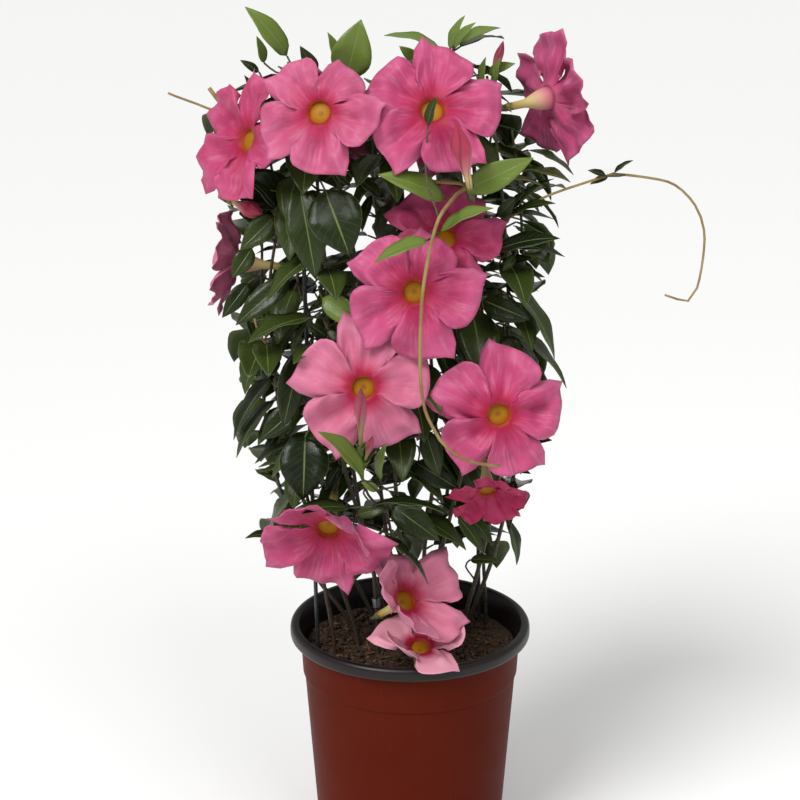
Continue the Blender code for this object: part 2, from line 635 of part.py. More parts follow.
def join_bloom(plant, name, base, ahead):
    # The stalk ends in a calyx, whose flat end faces the foot of the tube
    seat = base - ahead * GAP
    for owner, start, way in plant.nearest_joints(seat - ahead * 0.02, 0.16)[:60]:
        neck = seat - ahead * CALYX_LENGTH
        path = stalk_path(start, neck, ahead) + [seat]
        if not bends_gently(path, ahead, way):
            continue
        radii = [STALK_RADIUS] * (len(path) - 1) + [CALYX_RADIUS]
        cup = tube([neck, seat - ahead * GAP], [STALK_RADIUS + GAP, CALYX_RADIUS + GAP], 4)
        if stalk_clear(plant, path[:-1], owner) and plant.clear(*cup, None):
            plant.add(owner, "stalk", *tube(path, radii, 4))
            return True
    return False


def place_blooms(plant):
    for name, (column, row, depth, azimuth, elevation, first_tip, size, spread) in BLOOMS.items():
        radius = BLOOM_RADIUS * size
        length = TUBE_LENGTH * (0.7 + 0.3 * size)
        points, triangles = bloom_sheet(name, radius, first_tip, spread, length)
        away = -1 if depth > 0.1 else 1
        moves = [(step, tilt, aside) for aside in (0, 8, -8) for tilt in (0, -10, 10)
                 for step in (0, -0.006, 0.006, -0.012, 0.012, -0.018, -0.024, -0.030, 0.018)]
        for step, tilt, aside in moves:
            ahead = facing(azimuth, elevation + tilt)
            throat = photo_point(column + aside, row, depth + away * step)
            place = bloom_frame(throat, ahead)
            world = [place @ point for point in points]
            if not plant.clear(*sheet_solid(world, triangles, PETAL_THICKNESS, CLEARANCE), None):
                continue
            plant.add(name, "bloom", *sheet_solid(world, triangles, PETAL_THICKNESS))
            if join_bloom(plant, name, throat - ahead * length, ahead):
                break
            plant.nodes.pop(name)
            plant.obstacles.pop()
        else:
            print("bloom that could not be placed:", name)


def place_fallen_bloom(plant):
    # Lowered until it lies on the soil or on the rim
    column, row, depth, azimuth, elevation, first_tip, size, spread = FALLEN_BLOOM
    points, triangles = bloom_sheet("bloom_fallen", BLOOM_RADIUS * size, first_tip, spread, FALLEN_TUBE)
    place = bloom_frame(photo_point(column, row, depth), facing(azimuth, elevation))
    points, faces = sheet_solid([place @ point for point in points], triangles, PETAL_THICKNESS)
    ground = [tree for owner, _, tree, _, _ in plant.obstacles if owner in ("soil", "pot")]
    down = Vector((0, 0, -1))
    falls = [tree.ray_cast(point, down)[3] for point in points for tree in ground]
    drop = Vector((0, 0, min(fall for fall in falls if fall is not None) - GAP))
    plant.add("bloom_fallen", "bloom", [point - drop for point in points], faces)


def place_buds(plant):
    for name, (tip_place, base_place, radius) in BUDS.items():
        for step in (0, -0.006, 0.006, -0.012, 0.012, -0.018, 0.018, -0.024):
            shift = Vector((0, step, 0))
            tip = photo_point(*tip_place) + shift
            base = photo_point(*base_place) + shift
            if not plant.clear(*bud_solid(tip, base, radius + CLEARANCE), None):
                continue
            plant.add(name, "bud", *bud_solid(tip, base, radius))
            if join_bloom(plant, name, base, (tip - base).normalized()):
                break
            plant.nodes.pop(name)
            plant.obstacles.pop()
        else:
            print("bud that could not be placed:", name)


def set_leaf(plant, base, tip, leaf, prefer=None):
    axis = (tip - base).normalized()
    joints = plant.nearest_joints(base - axis * 0.006, 0.085)
    if prefer:
        joints = [joint for joint in joints if joint[0] == prefer]
    fat_blade = leaf_solid([base], tip, leaf, LEAF_THICKNESS, CLEARANCE)
    clear_of = {}
    for owner, start, way in joints[:30]:
        if owner not in clear_of:
            clear_of[owner] = plant.clear(*fat_blade, (owner, "stem"))
        if not clear_of[owner]:
            continue
        path = stalk_path(start, base, axis)
        if bends_gently(path, axis, way) and stalk_clear(plant, path, owner):
            plant.add(owner, "blade", *leaf_solid(path, tip, leaf, LEAF_THICKNESS))
            return True
    return False


def place_leaves(plant, draw):
    missing = 0
    for number, (tip_column, tip_row, column, row, seen, depth, tip_depth) in enumerate(LEAVES):
        placed = False
        for attempt in range(26):
            step = 0.003 * ((attempt + 1) // 2) * (1 if attempt % 2 else -1)
            lean = draw.uniform(-0.010, 0.010) if attempt > 8 else 0
            base = photo_point(column, row, depth / 1000 + step)
            tip = photo_point(tip_column, tip_row, tip_depth / 1000 + step + lean)
            axis = (tip - base).normalized()
            view = (CAMERA_PLACE - base).normalized()
            flat = (view - axis * view.dot(axis)).normalized()
            length = (tip - base).length
            wide = seen * (base - CAMERA_PLACE).length / FOCAL_PIXELS
            width = max(wide, LEAF_RATIO * length * 0.8)
            roll = math.acos(min(1, wide / width))
            turns = [Matrix.Rotation(angle, 3, axis) @ flat for angle in (roll, -roll)]
            normal = max(turns, key=lambda turn: turn.z)
            stations = LARGE_LEAF if seen > 24 else SMALL_LEAF
            if set_leaf(plant, base, tip, (normal, width, LEAF_ARCH, LEAF_WAVE, stations)):
                placed = True
                break
        if not placed:
            missing += 1
            print("leaf left out:", number, (tip_column, tip_row))
    print("leaves from the photograph:", len(LEAVES) - missing)


def inside_silhouette(point):
    column, row = photo_place(point)
    for low, high in zip(SILHOUETTE, SILHOUETTE[1:]):
        if low[0] <= row <= high[0]:
            share = (row - low[0]) / (high[0] - low[0])
            left = low[1] + (high[1] - low[1]) * share
            right = low[2] + (high[2] - low[2]) * share
            return left < column < right
    return False


def fill_leaves(plant, draw):
    total = 0
    for owner, quota in FILL.items():
        joints = [joint for joint in plant.joints if joint[0] == owner and joint[1].z > 0.30]
        placed = 0
        for attempt in range(quota * 14):
            if placed == quota:
                break
            _, start, along = joints[int(draw.random() * len(joints))]
            outward = Vector((start.x + 0.01, start.y - 0.01, 0)).normalized()
            heading = Matrix.Rotation(draw.uniform(-1.3, 1.3), 3, "Z") @ outward
            pitch = draw.uniform(-0.75, 0.25)
            axis = (heading * math.cos(pitch) + Vector((0, 0, math.sin(pitch)))).normalized()
            base = start + heading * draw.uniform(0.010, 0.022) + Vector((0, 0, 0.006))
            length = draw.uniform(0.060, 0.088)
            tip = base + axis * length
            if not inside_silhouette(tip) or abs(tip.y) > 0.175 or tip.z < SOIL_TOP + 0.03:
                continue
            normal = Vector((0, 0, 1)) + heading * 0.5
            width = LEAF_RATIO * length * draw.uniform(0.85, 1.15)
            if set_leaf(plant, base, tip, (normal, width, LEAF_ARCH, LEAF_WAVE, SMALL_LEAF), owner):
                placed += 1
        total += placed
    print("leaves by rule:", total)


def soil_height(x, y):
    waves = math.sin(90 * x + 1) * math.cos(75 * y) + 0.6 * math.sin(160 * x - 120 * y)
    return SOIL_TOP + SOIL_RELIEF * waves


def lathe(profile, sides):
    # Turns a closed profile, given as radius and height, round the Z axis; radius 0 is one point
    points = []
    rings = []
    for radius, height in profile:
        if radius == 0:
            rings.append([len(points)] * sides)
            points.append(Vector((0, 0, height)))
            continue
        rings.append(list(range(len(points), len(points) + sides)))
        for corner in range(sides):
            turn = math.tau * corner / sides
            points.append(Vector((radius * math.cos(turn), radius * math.sin(turn), height)))
    faces = []
    for lower, upper in zip(rings, rings[1:]):
        for corner in range(sides):
            after = (corner + 1) % sides
            face = (lower[corner], lower[after], upper[after], upper[corner])
            faces.append(tuple(dict.fromkeys(face)))
    return points, faces


def inner_wall():
    # The pot's inside from the top down, as radius and height
    rim_low = POT_HEIGHT - RIM_HEIGHT
    step_radius = BASE_RADIUS + (NECK_RADIUS - BASE_RADIUS) * STEP_HEIGHT / rim_low - STEP_WIDTH / 2
    return [(RIM_RADIUS - 0.0085, POT_HEIGHT), (NECK_RADIUS - POT_WALL, rim_low - 0.002),
            (step_radius - POT_WALL, STEP_HEIGHT - 0.002), (BASE_RADIUS - POT_WALL, FLOOR_HEIGHT)]


def pot_profile():
    rim_low = POT_HEIGHT - RIM_HEIGHT
    step_radius = BASE_RADIUS + (NECK_RADIUS - BASE_RADIUS) * STEP_HEIGHT / rim_low
    outside = [(0, 0), (BASE_RADIUS - 0.004, 0), (BASE_RADIUS, 0.003),
               (step_radius - STEP_WIDTH / 2, STEP_HEIGHT),
               (step_radius + STEP_WIDTH / 2, STEP_HEIGHT + 0.0015),
               (NECK_RADIUS, rim_low - 0.001), (RIM_RADIUS - 0.002, rim_low),
               (RIM_RADIUS, rim_low + 0.003),
               (RIM_RADIUS, POT_HEIGHT - 0.004), (RIM_RADIUS - 0.0025, POT_HEIGHT)]
    return outside + inner_wall() + [(0, FLOOR_HEIGHT)]


def wall_radius(height):
    wall = inner_wall()
    for upper, lower in zip(wall, wall[1:]):
        if lower[1] <= height <= upper[1]:
            share = (height - lower[1]) / (upper[1] - lower[1])
            return lower[0] + (upper[0] - lower[0]) * share
    return wall[-1][0]


def soil_solid():
    wall = [(radius - GAP, height + GAP) for radius, height in reversed(inner_wall())
            if height < SOIL_TOP - 0.01]
    edge = wall_radius(SOIL_TOP) - GAP - 0.0002
    profile = [(0, wall[0][1])] + wall
    profile += [(edge * share, SOIL_TOP) for share in (1.0, 0.72, 0.38, 0)]
    points, faces = lathe(profile, POT_SIDES)
    for point in points:
        reach = math.hypot(point.x, point.y)
        if point.z == SOIL_TOP and reach < edge * 0.99:
            point.z = soil_height(point.x, point.y)
    return points, faces


def hoop_path():
    path = []
    for leg, heights in ((HOOP_LEFT, (WIRE_FOOT, SOIL_TOP + 0.004, HOOP_SHOULDER)),
                         (HOOP_RIGHT, (HOOP_SHOULDER, SOIL_TOP + 0.004, WIRE_FOOT))):
        for height in heights:
            lean = HOOP_LEAN * max(0, height - SOIL_TOP) / (HOOP_SHOULDER - SOIL_TOP)
            path.append(Vector((leg.x + lean, leg.y, height)))
    left, right = path[2], path[3]
    middle = (left + right) / 2
    arch = []
    steps = 10
    for number in range(1, steps):
        turn = math.pi * number / steps
        rise = Vector((0, 0, (HOOP_TOP - HOOP_SHOULDER) * math.sin(turn)))
        arch.append(middle + (left - middle) * math.cos(turn) + rise)
    return path[:3] + arch + path[3:]


def clip_solid(path):
    # An open band round the stem at the clip's level
    radius = FOOT_RADIUS
    for start, end in zip(path, path[1:]):
        if start.z <= CLIP_LEVEL <= end.z:
            break
    along = (end - start).normalized()
    centre = start + along * ((CLIP_LEVEL - start.z) / along.z)
    side = any_side(along)
    other = along.cross(side)
    points = []
    steps = 9
    for number in range(steps + 1):
        turn = math.radians(300) * number / steps
        out = side * math.cos(turn) + other * math.sin(turn)
        for reach in (radius + 2 * GAP, radius + 2 * GAP + CLIP_WALL):
            for level in (-0.5, 0.5):
                points.append(centre + out * reach + along * (CLIP_HEIGHT * level))
    faces = []
    for number in range(steps):
        low = 4 * number
        for first, second in ((0, 1), (1, 3), (3, 2), (2, 0)):
            faces.append((low + first, low + second, low + 4 + second, low + 4 + first))
    faces += [(0, 2, 3, 1), tuple(4 * steps + corner for corner in (0, 1, 3, 2))]
    return points, faces


def hole(x, y, foot, radius):
    # A cutter for a plain hole in the soil, a gap wider than what stands in it
    wide = (radius + GAP) / math.cos(math.pi / 6)
    return tube([Vector((x, y, foot - GAP)), Vector((x, y, SOIL_TOP + 0.02))], [wide, wide], 6)


def drain_holes():
    holes = []
    for number in range(DRAINS):
        turn = math.tau * (number + 0.5) / DRAINS
        x, y = DRAIN_CIRCLE * math.cos(turn), DRAIN_CIRCLE * math.sin(turn)
        holes.append(tube([Vector((x, y, -0.01)), Vector((x, y, 0.01))], [DRAIN_RADIUS] * 2, 8))
    return holes


def linear(shade):
    shade = shade / 255
    return shade / 12.92 if shade <= 0.04045 else ((shade + 0.055) / 1.055) ** 2.4


def make_material(name, colour, roughness, metallic=0.0):
    material = bpy.data.materials.new(name)
    material.use_nodes = True
    shader = material.node_tree.nodes["Principled BSDF"]
    red, green, blue = (linear(int(colour[start:start + 2], 16)) for start in (1, 3, 5))
    shader.inputs["Base Color"].default_value = (red, green, blue, 1)
    shader.inputs["Roughness"].default_value = roughness
    shader.inputs["Metallic"].default_value = metallic
    material.diffuse_color = (red, green, blue, 1)
    return material


def make_object(name, points, faces, material=None, smooth=False):
    mesh = bpy.data.meshes.new(name)
    mesh.from_pydata([tuple(point) for point in points], [], faces)
    work = bmesh.new()
    work.from_mesh(mesh)
    bmesh.ops.recalc_face_normals(work, faces=work.faces)
    work.to_mesh(mesh)
    work.free()
    if smooth:
        mesh.shade_smooth()
        mesh.set_sharp_from_angle(angle=math.radians(40))
    if material:
        mesh.materials.append(material)
    item = bpy.data.objects.new(name, mesh)
    bpy.context.scene.collection.objects.link(item)
    return item


def count_bodies(mesh):
    parent = list(range(len(mesh.vertices)))

    def top(index):
        while parent[index] != index:
            parent[index] = parent[parent[index]]
            index = parent[index]
        return index

    for edge in mesh.edges:
        first, second = (top(index) for index in edge.vertices)
        parent[first] = second
    return len({top(index) for index in range(len(parent))})


def combine(name, target, pieces, operation, solver="EXACT"):
    # One Boolean of all the pieces on the target, applied; the pieces are then removed
    group = bpy.data.collections.new(name + "_pieces")
    bpy.context.scene.collection.children.link(group)
    for number, (points, faces) in enumerate(pieces):
        item = make_object(name + "_piece_" + str(number), points, faces)
        bpy.context.scene.collection.objects.unlink(item)
        group.objects.link(item)
        item.hide_render = True
        item.display_type = "WIRE"
    join = target.modifiers.new("Combine", "BOOLEAN")
    join.operation = operation
    join.operand_type = "COLLECTION"
    join.collection = group
    join.solver = solver
    view = bpy.context.evaluated_depsgraph_get()
    result = bpy.data.meshes.new_from_object(target.evaluated_get(view))
    target.modifiers.remove(join)
    target.data = result
    for item in list(group.objects):
        bpy.data.objects.remove(item, do_unlink=True)
    bpy.data.collections.remove(group)
    return target


def build_node(name, pieces, material):
    # The largest piece is the stem; everything that grows from it is joined to it
    node = make_object(name, *pieces[0], material)
    if len(pieces) > 1:
        combine(name, node, pieces[1:], "UNION")
    bodies = count_bodies(node.data)
    if bodies != 1:
        print("more than one body:", name, bodies)
    node.data.materials.clear()
    node.data.materials.append(material)
    return node


def main():
    clear_scene()
    brown_plastic = make_material("brown_plastic", "#5e2216", 0.45)
    dark_peat = make_material("dark_peat", "#3a2a20", 0.95)
    coated_wire = make_material("coated_wire", "#2e3034", 0.5)
    clip_steel = make_material("clip_steel", "#8a8c8e", 0.35, 1.0)
    green_leaf = make_material("green_leaf", "#2f4a26", 0.4)
    pink_petal = make_material("pink_petal", "#e0568c", 0.55)

    draw = random.Random(SEED)
    plant = Plant()
    hoop = hoop_path()
    plant.add("hoop", "wire", *tube(hoop, [WIRE_RADIUS] * len(hoop), 6))
    grow_vines(plant, draw)
    grow_twiners(plant, draw)
    plant.add("clip", "clip", *clip_solid(plant.paths["vine_front_left"]))
    feet = [path[0] for path in plant.paths.values()]
    plant.add("soil", "soil", *soil_solid())
    plant.add("pot", "pot", *lathe(pot_profile(), POT_SIDES))
    grow_shoots(plant, draw)
    place_fallen_bloom(plant)
    place_blooms(plant)
    place_buds(plant)
    place_leaves(plant, draw)
    fill_leaves(plant, draw)

    materials = {"pot": brown_plastic, "soil": dark_peat, "hoop": coated_wire, "clip": clip_steel}
    for name, pieces in plant.nodes.items():
        if name.startswith(("bloom", "bud")):
            material = pink_petal
        else:
            material = materials.get(name, green_leaf)
        node = build_node(name, pieces, material)
        if name == "soil":
            combine(name, node, [hole(foot.x, foot.y, STEM_FOOT, FOOT_RADIUS) for foot in feet]
                    + [hole(leg.x, leg.y, WIRE_FOOT, WIRE_RADIUS) for leg in (HOOP_LEFT, HOOP_RIGHT)],
                    "DIFFERENCE")
        if name == "pot":
            combine(name, node, drain_holes(), "DIFFERENCE")
    total = sum(len(polygon.vertices) - 2 for item in bpy.data.objects for polygon in item.data.polygons)
    print("triangles:", total, "nodes:", len(bpy.data.objects))


main()
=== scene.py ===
# Potted mandevilla, dressed for the shelf of parts. Metres, Z up, origin under the middle of the pot.
# The leaves, blooms and stems stand where the solid model has them: the same photo readings,
# the same rules and the same seed are used here, and then finer meshes are grown in those places.
import math
import random

import bmesh
import bpy
from mathutils import Matrix, Vector, noise
from mathutils.bvhtree import BVHTree


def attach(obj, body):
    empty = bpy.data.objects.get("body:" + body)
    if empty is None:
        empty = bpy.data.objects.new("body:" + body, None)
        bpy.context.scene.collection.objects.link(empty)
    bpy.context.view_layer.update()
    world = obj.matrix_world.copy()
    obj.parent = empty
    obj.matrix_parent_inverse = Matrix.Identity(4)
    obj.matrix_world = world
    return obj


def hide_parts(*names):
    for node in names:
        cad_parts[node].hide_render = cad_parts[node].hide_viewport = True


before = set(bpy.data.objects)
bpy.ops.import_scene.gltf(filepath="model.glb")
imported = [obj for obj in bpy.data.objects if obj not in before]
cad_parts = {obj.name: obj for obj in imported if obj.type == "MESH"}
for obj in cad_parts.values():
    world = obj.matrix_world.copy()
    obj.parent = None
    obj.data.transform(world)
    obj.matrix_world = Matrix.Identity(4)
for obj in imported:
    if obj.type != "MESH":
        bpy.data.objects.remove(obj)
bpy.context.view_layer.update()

seed = 11
noise.seed_set(seed)  # the clods of the soil would differ from run to run without it
gap = 0.0003  # left between pieces that touch
clearance = 0.0006  # kept free round a piece when it is placed

# camera of the photograph
view = {"place": Vector((-0.0105, -1.8, 1.04)), "pitch": math.radians(17), "focalPixels": 1867, "middle": 400}

hoop = {
    "left": Vector((-0.0962, -0.0105)), "right": Vector((0.0749, 0.0614)), "lean": -0.010, "shoulder": 0.70,
    "top": 0.80, "radius": 0.0021, "foot": 0.120, "ground": 0.004, "bends": (0.35, 0.5, 0.6),
    "archSteps": 44, "roughArchSteps": 10, "sides": 14, "roughSides": 6,
}

stem = {
    "foot": 0.170, "ground": 0.006, "footRadius": 0.0024, "tipRadius": 0.0012, "roughSides": 5,
    "roughStep": 0.065, "petiole": 0.0011, "stalk": 0.0013, "twine": 0.0066, "twineCorners": 6,
    "jointStep": 0.012, "lowJoint": 0.012, "shortStalk": 0.022, "root": 0.006, "step": 0.011, "sides": 8,
    "stalkStep": 0.008, "swelling": 0.10,
    "bark": (0.24, 0.52),  # heights between which the bark turns green
}

# left and right limit of the foliage at some rows of the photograph
silhouette = ((10, 246, 500), (60, 236, 575), (110, 205, 590), (180, 212, 575), (240, 214, 560),
              (300, 220, 540), (340, 226, 545), (400, 245, 555), (440, 232, 548), (490, 265, 525),
              (540, 262, 520), (600, 300, 500), (640, 320, 490))

# main stems: the foot as x and y, then column, row and depth of each point that the stem passes
vines = {
    "vine_front_left": ((-0.033, -0.030), ((372, 560, -0.03), (345, 470, -0.045), (330, 370, -0.05),
                        (326, 270, -0.05), (318, 190, -0.04), (312, 140, -0.01), (318, 78, 0.0))),
    "vine_front": ((0.000, -0.024), ((402, 560, -0.03), (395, 470, -0.045), (398, 360, -0.045),
                   (400, 260, -0.035), (392, 180, -0.03), (368, 110, 0.0), (348, 82, -0.005))),
    "vine_front_right": ((0.030, -0.028), ((440, 560, -0.035), (462, 470, -0.045), (470, 370, -0.045),
                         (470, 290, -0.01), (464, 205, 0.02), (455, 120, 0.01), (448, 58, 0.0))),
    "vine_right": ((0.052, -0.004), ((478, 570, -0.01), (500, 470, -0.012), (507, 360, -0.02),
                   (508, 290, -0.015), (504, 215, -0.01), (497, 150, 0.01), (487, 76, 0.01))),
    "vine_left": ((-0.055, -0.004), ((335, 570, 0.015), (296, 480, 0.015), (278, 400, 0.0),
                  (272, 330, -0.01), (270, 280, -0.01), (278, 215, -0.01), (270, 160, 0.0),
                  (263, 128, 0.0), (255, 92, 0.0))),
    "vine_inner_left": ((-0.022, 0.016), ((370, 560, 0.02), (352, 450, 0.015), (362, 340, 0.02),
                        (352, 240, 0.02), (330, 150, 0.025), (296, 70, 0.02))),
    "vine_inner_right": ((0.020, 0.018), ((424, 560, 0.02), (436, 450, 0.02), (430, 330, 0.02),
                         (440, 230, 0.02), (436, 150, 0.03), (430, 75, 0.03))),
    "vine_back_left": ((-0.038, 0.042), ((345, 560, 0.06), (318, 450, 0.085), (325, 340, 0.09),
                       (315, 240, 0.085), (300, 160, 0.07), (283, 90, 0.05))),
    "vine_back": ((0.000, 0.050), ((392, 560, 0.07), (378, 450, 0.095), (392, 340, 0.10),
                  (380, 240, 0.10), (372, 160, 0.085), (380, 80, 0.06))),
    "vine_back_right": ((0.040, 0.044), ((440, 560, 0.07), (452, 450, 0.10), (455, 340, 0.10),
                        (458, 240, 0.095), (462, 160, 0.08), (470, 90, 0.06))),
    "vine_far_left": ((-0.062, 0.028), ((312, 570, 0.04), (272, 460, 0.045), (262, 360, 0.05),
                      (262, 270, 0.05), (262, 200, 0.045))),
    "vine_far_right": ((0.062, 0.030), ((492, 560, 0.03), (516, 460, 0.045), (522, 370, 0.05),
                       (524, 290, 0.05), (520, 200, 0.045), (512, 130, 0.04))),
}

# seedlings and sprigs that stand alone in the soil, written in the same way
sprigs = {
    "sprig_left": ((-0.0865, 0.0095), ((333, 620, 0.012), (328, 602, 0.012))),
    "sprig_front": ((-0.0685, 0.0095), ((350, 622, 0.004), (362, 611, 0.0))),
}

# stems that wind round the two legs of the hoop: foot, leg, first and last height, turns, then free points
twiners = {
    "twiner_left": ((-0.078, -0.026), hoop["left"], 0.33, 0.66, 3.0, ((298, 120, -0.02), (288, 62, -0.01))),
    "twiner_right": ((0.082, 0.052), hoop["right"], 0.33, 0.66, 3.0, ((492, 130, 0.05), (500, 98, 0.03))),
}

# side shoots, each as points from its root, which is joined to the nearest stem, and its radius
shoots = {
    "runner_right": (0.0011, ((507, 219, -0.02), (525, 208, -0.03), (545, 197, -0.035), (572, 187, -0.03),
                     (600, 178, -0.02), (612, 174, -0.01), (650, 178, 0.0), (675, 185, 0.01),
                     (695, 205, 0.01), (704, 230, 0.01), (703, 258, 0.0), (697, 288, -0.01),
                     (688, 301, -0.015), (665, 295, -0.02))),
    "runner_front": (0.0015, ((463, 184, -0.070), (456, 195, -0.105), (447, 206, -0.134),
                     (439, 218, -0.147), (432, 240, -0.153), (426, 270, -0.155), (422, 300, -0.158),
                     (420, 350, -0.155), (421, 385, -0.152), (425, 410, -0.150), (432, 426, -0.150),
                     (440, 440, -0.150), (455, 454, -0.150), (475, 463, -0.148), (500, 466, -0.140))),
    "twig_left": (0.0011, ((262, 128, 0.0), (232, 116, 0.01), (207, 108, 0.01), (197, 104, 0.01),
                  (175, 96, 0.01), (168, 93, 0.01))),
    "stub": (0.0020, ((262, 150, 0.02), (238, 124, 0.02), (222, 105, 0.02), (209, 88, 0.02))),
    "arc_left": (0.0011, ((268, 285, -0.03), (255, 300, -0.04), (253, 312, -0.045), (257, 328, -0.05),
                 (266, 344, -0.05), (279, 359, -0.05))),
    "shoot_top": (0.0011, ((448, 70, 0.0), (452, 52, 0.0), (458, 38, 0.0))),
    "shoot_low": (0.0013, ((402, 560, -0.04), (392, 535, -0.075), (385, 505, -0.105), (376, 488, -0.112))),
}

# Blooms: column, row and depth of the throat, where it faces as azimuth from the camera to the right
# and elevation, angle of its first petal tip, size, and how far the petals open from the axis, degrees
blooms = {
    "bloom_top_left": (247, 140, -0.035, -54, 18, 20, 0.98, 70),
    "bloom_top": (319, 112, -0.080, -14, 20, 6, 0.93, 80),
    "bloom_top_middle": (432, 110, -0.075, 3, 30, 20, 1.05, 80),
    "bloom_top_right": (548, 98, 0.000, 124, 6, 30, 1.00, 70),
    "bloom_middle": (414, 292, -0.110, -3, 12, 10, 1.03, 84),
    "bloom_behind_middle": (445, 238, -0.062, 12, 42, 5, 0.90, 76),
    "bloom_left": (363, 388, -0.115, -3, 10, 30, 1.04, 88),
    "bloom_right": (499, 415, -0.115, 6, 8, 20, 1.02, 88),
    "bloom_young": (487, 492, -0.085, 2, -38, 30, 0.62, 58),
    "bloom_low_left": (328, 529, -0.095, -6, -22, -8, 1.06, 66),
    "bloom_low": (406, 600, -0.070, 44, 36, 26, 0.96, 64),
    "bloom_side_left": (238, 262, 0.010, -95, 5, 50, 0.80, 60),
    "bloom_back_top": (322, 122, 0.130, 172, 20, 15, 0.96, 82),
    "bloom_back_high": (425, 122, 0.140, 164, 14, 50, 0.98, 84),
    "bloom_back_middle": (413, 292, 0.150, 182, 10, 30, 1.02, 86),
    "bloom_back_left": (352, 392, 0.150, 205, 6, 60, 0.98, 84),
    "bloom_back_right": (494, 418, 0.130, 158, 4, 10, 0.96, 84),
}

# the fallen bloom that lies on the soil and over the rim, in the same form, with its shorter tube
fallenBloom = (420, 640, -0.092, 10, 70, 17, 0.78, 84)
fallenTube = 0.040

# closed buds: column, row and depth of the tip, then of the base, and the bud's largest radius
buds = {
    "bud_top": ((455, 120, -0.116), (470, 188, -0.088), 0.0090),
    "bud_left": ((361, 386, -0.150), (361, 448, -0.125), 0.0058),
    "bud_low": ((373, 434, -0.135), (364, 462, -0.120), 0.0034),
    "bud_high": ((503, 40, 0.000), (489, 88, 0.010), 0.0042),
    "bud_right": ((517, 442, -0.060), (534, 432, -0.030), 0.0050),
    "bud_wilted": ((262, 214, -0.045), (228, 200, -0.030), 0.0080),
}

